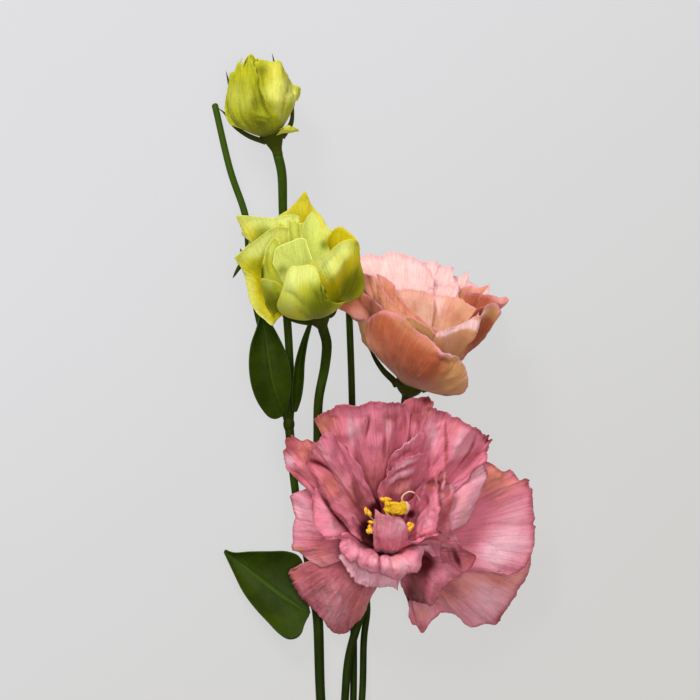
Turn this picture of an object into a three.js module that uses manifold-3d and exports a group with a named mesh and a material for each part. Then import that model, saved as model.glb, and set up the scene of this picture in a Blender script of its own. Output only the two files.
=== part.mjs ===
// A cut lisianthus spray lying on a table: an open pink bloom, a half-open salmon bloom,
// an opening green bud, a closed green bud, their calyces, the leaves and the branching stem.
// Millimetres, +Z up. The origin is on the table under the middle of the spray, and +Y runs
// towards the closed bud.

import * as THREE from "three";
import { mergeVertices } from "three/addons/utils/BufferGeometryUtils.js";
import Module from "manifold-3d";

const wasm = await Module();
wasm.setup();

// Driving dimensions
const PETAL_THICKNESS = 0.6;
const LEAF_THICKNESS = 0.7;
const CLEARANCE = 0.35;

// The foot of a corolla, as heights above its seat, and the cup of the calyx round it
const WIDEST_LAYER = 1.3;
const FOOT_MARGIN = 0.35;
const FOOT_FLARE = 0.2;
const FOOT_DEPTH = 0.5;
const FOOT_TOP = 2.2;
const CUP_WALL = 0.9;
const CUP_STALK = 1.5;
const CUP_BOTTOM = -5;
const CUP_TOP = -0.3;
const SEPAL_START = -1.2;
const SEPAL_RADII = [0.9, 0.75, 0.55, 0.35];
const PEDICEL_START = -3.5;
const PEDICEL_RADII = [1.6, 1.4];

// Stamens and pistil of the pink bloom
const ANTHERS = [[-2.5, 1.4, 28], [-1.7, -3.6, 28], [-0.2, -0.9, 28.5], [10.5, -2.6, 29.5], [3.4, 4.8, 28.4]];
const STIGMA = [6.3, 3.2, 31];
const RING_INNER = 1.3;
const RING_OUTER = 2.05;
const RING_HEIGHT = 1;
const BEND_HEIGHT = 12;
const STYLE_BEND = 17;
const STYLE_RADII = [0.9, 0.9, 0.6, 0.5, 0.6];
const LOBE_RADII = [1.1, 1.7, 1.9, 0.9];
const FILAMENT_RADII = [0.4, 0.35, 0.35];
const ANTHER_HALF = 1.6;
const ANTHER_RADII = [0.5, 0.9, 0.5];

// Stem details
const NODE_LENGTH = 1.35;
const BRACT_RADII = [0.9, 0.7, 0.35];

// How finely round and curved forms are divided
const STEM_SIDES = 6;
const STEM_STEP = 17;
const SEPAL_SIDES = 4;
const SEPAL_STEP = 4;
const TURNED_SIDES = 8;
const PETAL_STEPS = 4;
const LONG_RIM = 9;
const LEAF_ALONG = 9;
const LEAF_ACROSS = 4;

const COLOURS = {
  pinkPetal: 0xc9607a,
  salmonPetal: 0xd98f72,
  openingPetal: 0xb9c236,
  closedPetal: 0xb4b830,
  calyx: 0x3c4a18,
  pollen: 0xd8a020,
  stigma: 0xd0b020,
  stem: 0x2c3f12,
  leaf: 0x3c5a1c,
};

// Small vector helpers
const vec = (p) => new THREE.Vector3(...p);
const smooth = (x) => THREE.MathUtils.smoothstep(x, 0, 1);

// Two unit vectors square to a flower's axis: the first leans to +X, and they turn anticlockwise
// as seen from the tip of the axis.
function axisFrame(axis) {
  const n = vec(axis).normalize();
  const e1 = new THREE.Vector3(1, 0, 0).addScaledVector(n, -n.x).normalize();
  const e2 = n.clone().cross(e1);
  return { n, e1, e2 };
}

function around(frame, degrees) {
  const a = THREE.MathUtils.degToRad(degrees);
  return frame.e1.clone().multiplyScalar(Math.cos(a)).addScaledVector(frame.e2, Math.sin(a));
}

// A point at a height above a flower's seat, out from its axis at an angle round it
function onAxis(flower, height, degrees = 0, radius = 0) {
  const frame = axisFrame(flower.axis);
  const point = vec(flower.seat).addScaledVector(frame.n, height);
  return point.addScaledVector(around(frame, degrees), radius).toArray();
}

// The two neighbours in a list of a place from 0 to 1, and how far it is between them.
function neighbours(list, place) {
  const at = place * (list.length - 1);
  const step = Math.min(Math.floor(at), Math.max(0, list.length - 2));
  return [list[step], list[Math.min(step + 1, list.length - 1)], at - step];
}

// A petal is a fan of rays. Each ray leaves the tube at the flower's seat, rises towards the mouth
// of the throat and bends over to a point of the rim.
function petalBase(flower, petal) {
  const frame = axisFrame(flower.axis);
  const rim = new THREE.CatmullRomCurve3(petal.rim.map(vec), false, "centripetal");
  const seat = vec(flower.seat);
  const layer = petal.layer ?? 1;
  const bows = (petal.bow ?? [[0, 0, 0]]).map(vec);
  const reach = petal.reach ?? 0.5;
  const tubes = [petal.tube ?? flower.tube].flat();
  return (s, t) => {
    const out = around(frame, THREE.MathUtils.lerp(petal.root[0], petal.root[1], t));
    const root = seat.clone().addScaledVector(out, flower.throat * layer);
    const tube = THREE.MathUtils.lerp(...neighbours(tubes, t));
    const mouth = seat.clone().addScaledVector(frame.n, tube).addScaledVector(out, flower.mouth * layer);
    const tip = rim.getPoint(t);
    const [before, after, share] = neighbours(bows, t);
    const bow = before.clone().lerp(after, share);
    const shoulder = mouth.clone().lerp(tip, reach).add(bow);
    return new THREE.CubicBezierCurve3(root, mouth, shoulder, tip).getPoint(s);
  };
}

// How far a petal's swell, folds and ruffle lift it off its plain surface.
function petalLift(petal, s, t) {
  let lift = (petal.swell ?? 0) * Math.sin(Math.PI * s) * Math.sin(Math.PI * t);
  for (const [at, width, height] of petal.folds ?? []) {
    lift += height * Math.exp(-(((t - at) / width) ** 2)) * smooth(s * 1.2) * (1.15 - 0.35 * s);
  }
  const [size, waves, phase] = petal.ruffle ?? [0, 1, 0];
  return lift + size * smooth((s - 0.35) / 0.65) * Math.sin(2 * Math.PI * (waves * t + phase));
}

function petalSurface(flower, petal) {
  const base = petalBase(flower, petal);
  const e = 0.01;
  return (s, t) => {
    const p = base(s, t);
    const [s0, s1] = [Math.max(0, s - e), Math.min(1, s + e)];
    const [t0, t1] = [Math.max(0, t - e), Math.min(1, t + e)];
    const along = base(s1, t).sub(base(s0, t));
    const across = base(s, t1).sub(base(s, t0));
    const normal = across.cross(along).normalize();
    return p.addScaledVector(normal, petalLift(petal, s, t));
  };
}

// A closed blade: both faces of a surface, split into triangles alike, and the edge round them.
function bladeGeometry(surface, along, across, thickness, taper = () => 1) {
  const rows = [];
  for (let i = 0; i <= along; i++) {
    rows.push([]);
    for (let j = 0; j <= across; j++) rows[i].push(surface(i / along, j / across));
  }
  const normalAt = (i, j) => {
    const du = rows[Math.min(along, i + 1)][j].clone().sub(rows[Math.max(0, i - 1)][j]);
    const dv = rows[i][Math.min(across, j + 1)].clone().sub(rows[i][Math.max(0, j - 1)]);
    return dv.cross(du).normalize();
  };
  const positions = [];
  for (const side of [1, -1]) {
    for (let i = 0; i <= along; i++) {
      for (let j = 0; j <= across; j++) {
        const half = (side * thickness * taper(i / along, j / across)) / 2;
        positions.push(...rows[i][j].clone().addScaledVector(normalAt(i, j), half).toArray());
      }
    }
  }
  const width = across + 1;
  const under = (along + 1) * width;
  const index = [];
  for (let i = 0; i < along; i++) {
    for (let j = 0; j < across; j++) {
      const [a, b] = [i * width + j, i * width + j + 1];
      const [c, d] = [a + width, b + width];
      index.push(a, b, d, a, d, c);
      index.push(under + a, under + d, under + b, under + a, under + c, under + d);
    }
  }
  const wall = (a, b) => index.push(a, a + under, b + under, a, b + under, b);
  for (let j = 0; j < across; j++) {
    wall(j, j + 1);
    wall(along * width + j + 1, along * width + j);
  }
  for (let i = 0; i < along; i++) {
    wall((i + 1) * width, i * width);
    wall(i * width + across, (i + 1) * width + across);
  }
  const geometry = new THREE.BufferGeometry();
  geometry.setAttribute("position", new THREE.Float32BufferAttribute(positions, 3));
  return geometry.setIndex(index);
}

// A round stalk along a smooth curve, with a radius that may change on the way and flat ends.
function stalkGeometry(points, radii, sides = STEM_SIDES, step = STEM_STEP) {
  const curve = new THREE.CatmullRomCurve3(points.map(vec), false, "centripetal");
  const steps = Math.max(2, Math.round(curve.getLength() / step));
  const frames = curve.computeFrenetFrames(steps, false);
  const radiusAt = (t) => {
    const f = t * (radii.length - 1);
    const i = Math.min(radii.length - 2, Math.floor(f));
    return THREE.MathUtils.lerp(radii[i], radii[i + 1], f - i);
  };
  const positions = [];
  for (let i = 0; i <= steps; i++) {
    const centre = curve.getPointAt(i / steps);
    for (let j = 0; j < sides; j++) {
      const a = (2 * Math.PI * j) / sides;
      const p = centre.clone().addScaledVector(frames.normals[i], Math.cos(a) * radiusAt(i / steps));
      positions.push(...p.addScaledVector(frames.binormals[i], Math.sin(a) * radiusAt(i / steps)).toArray());
    }
  }
  positions.push(...curve.getPointAt(0).toArray(), ...curve.getPointAt(1).toArray());
  const [first, last] = [(steps + 1) * sides, (steps + 1) * sides + 1];
  const index = [];
  for (let j = 0; j < sides; j++) {
    const k = (j + 1) % sides;
    for (let i = 0; i < steps; i++) {
      const [a, b, c, d] = [i * sides + j, i * sides + k, (i + 1) * sides + j, (i + 1) * sides + k];
      index.push(a, b, d, a, d, c);
    }
    index.push(first, k, j, last, steps * sides + j, steps * sides + k);
  }
  const geometry = new THREE.BufferGeometry();
  geometry.setAttribute("position", new THREE.Float32BufferAttribute(positions, 3));
  return geometry.setIndex(index);
}

// Solids for joining and cutting
function solid(geometry) {
  const bare = new THREE.BufferGeometry();
  bare.setAttribute("position", geometry.getAttribute("position"));
  bare.setIndex(geometry.index);
  const merged = mergeVertices(bare, 1e-4);
  return new wasm.Manifold(new wasm.Mesh({
    numProp: 3,
    vertProperties: merged.attributes.position.array,
    triVerts: new Uint32Array(merged.index.array),
  }));
}

function join(solids) {
  return solids.reduce((all, one) => all.add(one));
}

function geometryOf(made) {
  const { vertProperties, triVerts, numProp } = made.getMesh();
  const geometry = new THREE.BufferGeometry();
  const positions = new Float32Array((vertProperties.length / numProp) * 3);
  for (let i = 0; i < positions.length / 3; i++) {
    positions.set(vertProperties.subarray(i * numProp, i * numProp + 3), i * 3);
  }
  geometry.setAttribute("position", new THREE.BufferAttribute(positions, 3));
  geometry.setIndex(new THREE.BufferAttribute(new Uint32Array(triVerts), 1));
  geometry.computeVertexNormals();
  return geometry;
}

// The pink bloom, wide open, facing up off the table
const PINK = {
  seat: [4, -9.5, 10],
  axis: [0, 0.32, 0.95],
  throat: 2.5,
  mouth: 7.5,
  tube: 14,
  petals: {
    top: {
      rim: [
        [-19, 30.5, 33], [-15.5, 33, 34], [-9, 34.7, 35], [-3, 35.3, 36], [3, 36.2, 36], [8, 35.2, 35],
        [11, 33, 34],
      ],
      root: [150, 60], folds: [[0.3, 0.08, -1.8], [0.62, 0.07, 2], [0.8, 0.06, -1.6]],
      ruffle: [1.2, 3, 0],
    },
    top_back: {
      rim: [
        [7, 34, 28], [10, 36.3, 28], [13, 37.2, 28], [16.5, 37, 29], [17.7, 35.3, 30],
      ],
      root: [80, 50], layer: 1.15,
    },
    top_right: {
      rim: [
        [11, 32, 32], [14.5, 34, 34], [17, 35, 34], [19.5, 33, 35], [24, 30.8, 35], [29, 29.3, 34],
        [33, 26.5, 33], [36, 23, 31], [35, 20.5, 30], [34.5, 18, 29], [29, 14, 28], [25, 9, 28],
      ],
      root: [70, 0], layer: 1.05,
      folds: [[0.14, 0.07, 2.4], [0.31, 0.05, -2.2], [0.47, 0.06, 1.6], [0.6, 0.05, -1.8], [0.78, 0.06, 1.2]],
    },
    right_fold: {
      rim: [
        [33.5, 17.5, 27], [35.2, 13.2, 27.5], [33.6, 8.5, 27.5], [32.2, 4.3, 27], [30.6, 0.6, 26.5],
        [28.3, -2.9, 26.5], [24, -4.5, 27],
      ],
      root: [35, -25], layer: 1.1, reach: 0.6, bow: [[-1.5, 0, 3.5], [-3, 0, 7], [-1.5, 0, 3.5]],
    },
    right: {
      rim: [
        [32.5, 17.8, 22], [37, 16, 20], [40, 14, 19], [42.3, 14.7, 18], [45, 11.7, 17],
        [47.5, 12.3, 17], [49, 8.5, 16], [49.6, 2, 15], [50, -4, 14], [49.3, -10, 14],
        [46.5, -15.8, 15], [43, -18, 16], [39, -17.2, 18], [34.5, -17.4, 19], [30, -16.5, 20],
        [26, -13.5, 22], [23.5, -8.5, 24],
      ],
      root: [25, -50], layer: 1.2, bow: [[0, 0, 2], [0, 0, 4], [0, 0, 3]],
    },
    side_fold: {
      rim: [
        [21.3, -1.5, 29], [24.6, -5.7, 29.5], [26.6, -9.2, 29], [30, -11.6, 27.4], [31.3, -12.3, 27],
        [30.2, -15, 26], [27.4, -17.4, 25], [24, -14, 25.5], [22.5, -9.5, 27],
      ],
      root: [-20, -48], layer: 1,
    },
    lower_right: {
      rim: [
        [49, -10, 10], [48, -17, 8], [45.5, -22.5, 7], [42.5, -27.5, 6], [40.3, -31, 5], [38, -34, 4],
        [34, -34, 3], [30, -34.7, 2], [26, -32, 2], [22, -30.3, 2], [18.5, -32, 0.4],
        [15, -36.7, -0.15], [12.5, -34.5, 0], [11, -31.5, 4], [12, -25, 6],
      ],
      root: [-15, -76], layer: 1.3, tube: [14, 13, 9, 4],
      bow: [[0, 0, 3], [0, 0, 5], [0, 0, 0], [2, 0, -4]],
    },
    lower_dark: {
      rim: [
        [20.5, -9, 28], [21, -13.8, 26], [26.8, -17.5, 25], [22.8, -20.6, 24], [20.2, -24, 22],
        [17.6, -26.8, 19], [14, -26.6, 15], [11.5, -26.5, 14], [9.9, -26.6, 13], [10.8, -23, 15],
        [10.8, -19, 18.5],
      ],
      root: [-25, -90], layer: 1.12, bow: [[0, 0, 3], [0, 0, 3], [0, 0, 1]],
      folds: [[0.42, 0.12, 1.5]],
    },
    lip: {
      rim: [
        [20.6, -7.6, 29], [19.8, -12.8, 28], [16.3, -9.3, 30], [15.3, -12.5, 30], [13.5, -16.8, 29.5],
        [10, -17.5, 29.5], [7, -19.8, 28], [3.5, -18, 29.5], [1.3, -17.2, 30.5], [-2, -17.2, 30.5],
        [-5.5, -14.3, 31], [-9, -12.5, 31], [-11, -9, 31], [-10.5, -5, 31],
      ],
      root: [-25, -170], layer: 0.95, tube: 13, reach: 0.6,
      bow: [[0, 2, 4], [0, 4, 9], [0, 4, 9], [0, 2, 4]],
    },
    lip_back: {
      rim: [
        [9.5, -18, 24], [7.2, -22.6, 24], [5.5, -21.7, 25], [2, -22.3, 25], [-2, -21.8, 26],
        [-5.5, -20.5, 26], [-8, -17.5, 27], [-11.5, -12, 27],
      ],
      root: [-60, -160], layer: 1.08, bow: [[0, 0.5, 2.5], [0, 1, 5], [0, 0.5, 2.5]],
    },
    middle_small: {
      rim: [
        [10.2, -6, 29.5], [10, -3, 31.5], [9.2, -0.9, 32.8], [6.6, 0.3, 33.4], [3.6, 1, 33],
        [0.2, 2.3, 32], [-0.3, -2.5, 31], [0.6, -7, 29.5],
      ],
      root: [-45, -135], layer: 0.85, tube: 10, reach: 0.5, bow: [[0, -2, 1], [0, -4, 2], [0, -2, 1]],
    },
    middle_right: {
      rim: [
        [11, 4, 32], [13.5, 8, 34], [15.5, 11.2, 36], [17, 10.4, 36.5], [18.5, 11, 36.5], [18.6, 8, 37],
        [20.5, 3, 37], [20.2, -1.8, 37], [20.4, -4.8, 37], [17, -5.7, 36], [13.7, -7.1, 35],
        [9.6, -6, 33],
      ],
      root: [45, -55], layer: 0.85, folds: [[0.35, 0.1, -1.2], [0.65, 0.1, 1]],
    },
    cave: {
      rim: [
        [17, 10.5, 31], [18.6, 12.2, 31.5], [20, 10.8, 32], [21.4, 13.8, 32], [22.4, 11.8, 32],
        [24.4, 9, 31.5], [23.4, 5.5, 31], [22.6, 1.5, 30.5], [23.4, -3, 29.8], [22.9, -7, 29],
      ],
      root: [40, -35], layer: 0.97,
    },
    inner_a: {
      rim: [
        [3.6, 14.5, 30.5], [5.2, 18.6, 32.8], [7.8, 21.8, 34], [10.8, 24.3, 35], [13.8, 26.4, 33.5],
        [16.5, 24.6, 29.5], [17, 20, 27],
      ],
      root: [88, 45], layer: 0.95, folds: [[0.55, 0.2, 1]],
    },
    inner_b: {
      rim: [
        [0.6, 8, 28], [3, 12, 31.4], [6, 16.2, 33.8], [9.5, 18.6, 35], [13.8, 20.4, 33.5],
        [16.3, 18, 29], [16, 12.5, 27],
      ],
      root: [102, 30], layer: 0.86, folds: [[0.5, 0.2, 1]],
    },
    upper_left: {
      rim: [
        [-6, -6, 32], [-11, 0, 34], [-15, 5.5, 35], [-18, 11, 34], [-19.6, 17.5, 33], [-19.4, 21.5, 33],
        [-17.6, 24.2, 34.5], [-15, 26.2, 35.5], [-12.2, 25, 34.5], [-9, 22.5, 31.5], [-5.5, 17, 27],
      ],
      root: [215, 105], layer: 0.92,
      folds: [[0.4, 0.06, -1.6], [0.3, 0.05, 1.4], [0.62, 0.07, 1.6], [0.78, 0.05, -1.5]],
    },
    far_left: {
      rim: [
        [-20, 8.5, 24], [-24, 11.5, 24], [-27.8, 15.3, 25], [-28.8, 18, 26], [-28, 21, 27],
        [-27.6, 23.8, 27], [-25.6, 25.4, 26], [-23.3, 23.7, 26], [-20, 23.7, 27], [-16, 22.5, 28],
      ],
      root: [185, 130], layer: 1.08, bow: [[0, 0, 1], [0, 0, 2], [0, 0, 1]],
    },
    left: {
      rim: [
        [-17, -16, 18], [-21.5, -13, 16], [-23.5, -11.3, 15], [-26, -10.5, 15], [-25.8, -7, 16],
        [-25.7, -3, 17], [-25, -0.5, 18], [-26, 3.5, 18], [-26.3, 6.5, 19], [-23.5, 8, 20],
        [-18, 10, 22],
      ],
      root: [220, 150], layer: 1.18, bow: [[0, 0, 2], [0, 0, 4], [0, 0, 2]],
    },
    lower_left: {
      rim: [
        [1, -20, 15], [-0.5, -25, 11], [-3.5, -31, 8.5], [-5.5, -33.3, 7], [-8, -36, 4],
        [-11, -37.2, 0.1], [-14, -35.7, 4], [-17, -32, 7], [-20, -28.5, 8], [-23.5, -25, 9],
        [-26, -21, 10], [-26.7, -16.5, 11], [-23, -16, 13], [-18, -12, 16],
      ],
      root: [-95, -175], layer: 1.28, bow: [[0, 0, 2.5], [0, 0, 5], [0, 0, 2.5]],
    },
    left_fold: {
      rim: [
        [-8.5, -5, 31], [-12.8, -5.5, 32], [-15, -6.3, 32], [-17, -4.8, 32], [-19, -1, 31],
        [-19.5, 4, 30], [-18.5, 10, 29],
      ],
      root: [215, 155], layer: 1, bow: [[0, 0, 1.5], [0, 0, 3], [0, 0, 1.5]],
    },
  },
};

// The salmon bloom, half open, leaning along the table towards the buds
const SALMON = {
  seat: [11, 41.5, 15],
  axis: [0.22, 0.88, 0.42],
  throat: 2.3,
  mouth: 9,
  tube: 14,
  petals: {
    front: {
      rim: [
        [-1.6, 57, 21], [-2.8, 60, 24], [-1.5, 62.4, 27], [3.3, 64, 32], [6.8, 62.9, 35],
        [9.7, 61, 37.5], [12.5, 57.8, 39.5], [17, 55, 41], [20.6, 51.6, 41.5], [24, 50.3, 41],
        [26.6, 48.6, 39.5], [28.6, 43.5, 37], [28.9, 40.4, 34.5], [27.6, 38.7, 32], [22.5, 38.4, 29],
        [17.5, 38.8, 24],
      ],
      root: [195, 340], layer: 1.2, tube: [9, 9, 8, 4, 1],
      bow: [[-3, -4, 0], [-4, -5, 3], [-1, -3, 5], [1, -2.5, 5], [0, -0.5, 5]], swell: 2,
    },
    left_under: {
      rim: [
        [-1.3, 53, 16], [-3, 55.5, 17], [-4.8, 58, 18.5], [-5.7, 60.3, 20], [-3.5, 61.7, 24],
      ],
      root: [185, 225], layer: 1.15, bow: [[-6, -5, -1], [-4, -4, 0], [-3, -3, 0]],
    },
    far_left: {
      rim: [
        [-5.5, 60.3, 14], [-9, 63.3, 13], [-12, 65.2, 13], [-12.5, 69, 12], [-10, 73, 11],
        [-5, 76.5, 11],
      ],
      root: [175, 140], layer: 1.1,
    },
    coral: {
      rim: [
        [-8, 74, 14], [-5, 70.3, 18], [-1, 67.8, 23], [1.6, 65.5, 27], [3, 63.5, 30],
      ],
      root: [165, 235], layer: 1.05, bow: [[-1, -1, 0], [-2, -2, 0], [-1, -1, 0]],
    },
    left_outer: {
      rim: [
        [-6, 76.3, 12], [-2.5, 75.2, 15], [-0.3, 74.7, 18], [1.2, 72.2, 21], [3.2, 69.2, 24],
        [5.5, 66.3, 27], [8.3, 63.4, 30], [12, 60.5, 33], [17.5, 57, 36],
      ],
      root: [160, 280], layer: 1, bow: [[-1, -1, 0.5], [-2, -2, 1], [-1, -1, 0.5]],
    },
    gold: {
      rim: [
        [8, 61.5, 33], [11, 61.4, 35], [14, 60.2, 36.5], [16.5, 58.7, 37.5], [18.6, 56.8, 38],
      ],
      root: [245, 285], layer: 1.1,
    },
    left_inner: {
      rim: [
        [0.3, 75.5, 15], [3.5, 74, 18], [5.2, 72.3, 20], [6.2, 69.8, 23], [8.2, 67, 26], [11, 64, 29],
        [15, 60.5, 32], [19, 57.8, 35],
      ],
      root: [160, 285], layer: 0.9, bow: [[-0.5, -0.5, 0.5], [-1, -1, 1], [-0.5, -0.5, 0.5]],
    },
    right: {
      rim: [
        [17.8, 56.3, 37], [20, 57.4, 37.5], [23, 58.4, 38], [26, 59.4, 37.5], [29.4, 61.2, 37],
        [31.2, 63, 36.5], [33.5, 64.2, 34.5], [36.3, 65.4, 31], [38, 65.8, 29], [39.2, 63.4, 27],
        [38.2, 60.8, 24.5], [36, 58, 23],
      ],
      root: [290, 375], layer: 1.1, tube: [14, 14, 6], bow: [[1, -2, 2], [1, -3, 5], [1.5, -3, 1]],
      folds: [[0.48, 0.07, 2.6], [0.64, 0.1, -1.6]],
    },
    back: {
      rim: [
        [-8, 78.5, 7], [-4.5, 80.7, 7], [-1, 81.7, 8], [1, 81.1, 8], [4, 82.4, 8], [8, 82.1, 9],
        [12, 80.8, 9], [15, 79.3, 10], [17, 77, 11], [17.9, 74.5, 12], [18.2, 71, 14],
      ],
      root: [160, 65], layer: 1,
    },
    back_right: {
      rim: [
        [14, 79, 7], [19, 79.6, 6], [20.2, 78.7, 6], [23.7, 78.3, 6], [24.4, 76, 7], [25.6, 73.5, 8],
        [25.8, 70, 10],
      ],
      root: [90, 40], layer: 1.1,
    },
    far_right: {
      rim: [
        [23.5, 75.5, 4], [27, 75, 4], [29, 76.8, 4], [29.4, 73.5, 5], [34.5, 71.6, 7], [35.3, 73, 8],
        [35.6, 70.5, 10],
      ],
      root: [60, 20], layer: 1.2,
    },
    right_curl: {
      rim: [
        [25, 67, 17], [26.6, 70.3, 16], [29, 71.8, 15], [32, 71.2, 15], [34.8, 71.8, 15], [33, 69, 18],
      ],
      root: [50, 10], layer: 1.05,
    },
    right_cave: {
      rim: [
        [28, 69.6, 20], [31, 69.6, 19], [34, 69.2, 18], [38, 68.5, 18], [41, 68.2, 19],
        [40.3, 66.8, 21], [37.5, 66.6, 24], [34, 65.4, 27], [31, 64.7, 29],
      ],
      root: [30, -40], layer: 1, bow: [[1, -0.5, 0], [2, -1, 0], [1, -0.5, 0]],
    },
    inner_left: {
      rim: [
        [5, 70.3, 19], [9, 70.6, 18], [14, 70.4, 18], [17, 69.2, 18], [18.3, 66, 19],
      ],
      root: [140, 60], layer: 0.85,
    },
    inner_right: {
      rim: [
        [14, 67.5, 15.5], [17, 68.8, 16.8], [19.5, 68.8, 18.4], [22.5, 68.4, 19], [26, 67.9, 20],
        [28.5, 66.2, 23], [31.5, 64.3, 27], [31.5, 61.5, 31],
      ],
      root: [105, -20], layer: 0.88,
    },
    middle_band: {
      rim: [
        [17, 71.2, 15], [20, 71.5, 14], [23, 72.3, 14], [25.4, 71.8, 15], [25.6, 68.5, 17],
      ],
      root: [80, 50], layer: 0.95,
    },
  },
};

// The opening bud, still green, standing between the salmon bloom and the closed bud
const OPENING = {
  seat: [-17.7, 63, 20],
  axis: [-0.3, 0.85, 0.42],
  throat: 2.1,
  mouth: 11,
  tube: 9,
  petals: {
    front: {
      rim: [
        [-29.4, 70, 36], [-28.9, 72, 38], [-28.5, 75, 40], [-26.6, 77.4, 42], [-23.2, 77.8, 43],
        [-20, 78, 43.5], [-18.4, 75.8, 44.5], [-17, 72.8, 45], [-16, 69.2, 43.5], [-13.2, 67.2, 40],
        [-10.2, 66.8, 35],
      ],
      root: [205, 345], layer: 1.1, tube: 6, bow: [[-2, -4, 3], [-1, -6, 5], [1, -5, 5], [1, -3, 3]],
      swell: 2.5,
    },
    front_left: {
      rim: [
        [-31, 62, 27], [-33.5, 66, 30], [-35, 70, 32], [-35.4, 73.8, 34], [-33, 73.4, 36],
        [-31, 73, 37], [-28.9, 71.4, 38], [-26, 69, 37],
      ],
      root: [190, 255], layer: 0.93, bow: [[-2, -3, 1], [-2, -3, 2], [-2, -3, 2]],
    },
    lower_left: {
      rim: [
        [-29, 62.5, 25], [-31.8, 59.4, 25], [-34, 61, 25], [-36.2, 63.7, 25], [-37.2, 66.7, 25],
        [-38.2, 72, 25], [-39.5, 77.3, 25], [-41.2, 78.8, 24], [-43.6, 80.3, 24], [-40, 82.7, 25],
        [-37, 84.3, 26], [-33, 87.1, 27], [-30.5, 88.6, 28], [-27.5, 88.2, 29],
      ],
      root: [230, 130], layer: 1.1, bow: [[0, 0, -1.5], [0, 0, -3], [0, 0, -1.5]],
    },
    upper_left: {
      rim: [
        [-38.5, 80, 18], [-39.2, 84.5, 18], [-39.4, 88, 18], [-41.2, 91, 18], [-43.1, 93.4, 18],
        [-40, 93.2, 19], [-36, 92.4, 20], [-31, 92.3, 21], [-27, 93.1, 22], [-24, 92.6, 23],
      ],
      root: [160, 110], layer: 1,
    },
    top: {
      rim: [
        [-33, 91, 15], [-30.5, 93.1, 15], [-27, 95.3, 15], [-24, 98.3, 15], [-21.7, 101.1, 15],
        [-20.3, 97.8, 15], [-18, 94.3, 15], [-16, 91, 16], [-13, 87.6, 17], [-10.8, 84.5, 18],
      ],
      root: [130, 50], layer: 1.05,
    },
    right: {
      rim: [
        [-20.8, 77.5, 39], [-18, 79.4, 40], [-15.4, 81.2, 40.5], [-11, 84.2, 39.5], [-8, 86, 37.5],
        [-5.3, 85.2, 35], [-4.3, 81, 32], [-3.7, 76.5, 29], [-4, 73, 27], [-5.4, 70.2, 25],
        [-8, 68, 23], [-10.8, 66.7, 22],
      ],
      root: [315, 385], layer: 1.05, tube: [7, 7, 5, 1],
      bow: [[1, -1, 2], [1, -3, 4], [3, -5, 2], [1, -2, 2]], swell: 2,
      folds: [[0.3, 0.06, -1], [0.2, 0.06, 1.2]],
    },
    back_right: {
      rim: [
        [-14.5, 86, 22], [-12.7, 89, 22], [-10.8, 90, 22], [-8.3, 88.5, 23], [-5.8, 86, 24],
        [-4.8, 83, 25],
      ],
      root: [60, 20], layer: 0.95,
    },
    inner_front: {
      rim: [
        [-31.4, 78.5, 31], [-30.8, 81.6, 31], [-30.3, 83.2, 31], [-27, 84.8, 31], [-23.5, 86.1, 31.5],
        [-22.2, 86, 32], [-21.4, 84, 32.5], [-19.5, 79, 35],
      ],
      root: [165, 60], layer: 0.7,
    },
    inner_tall: {
      rim: [
        [-22, 82, 27], [-22.2, 88, 26], [-21.4, 91.5, 25], [-19.5, 94.3, 25], [-18, 92, 25],
        [-16.7, 88, 26], [-14.8, 84, 27], [-14, 80, 29],
      ],
      root: [110, 50], layer: 0.75,
    },
    crinkled: {
      rim: [
        [-31, 87, 23], [-28.5, 91, 23], [-27, 90, 23], [-25.5, 92.4, 23], [-24, 91, 23],
        [-21.5, 91.3, 22],
      ],
      root: [130, 100], layer: 0.9,
    },
    inner_left: {
      rim: [
        [-35, 73.5, 29], [-34.8, 78, 29], [-33.4, 83.7, 29], [-31, 86.3, 29], [-29.5, 83.5, 30],
      ],
      root: [190, 150], layer: 0.8,
    },
  },
};

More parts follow.
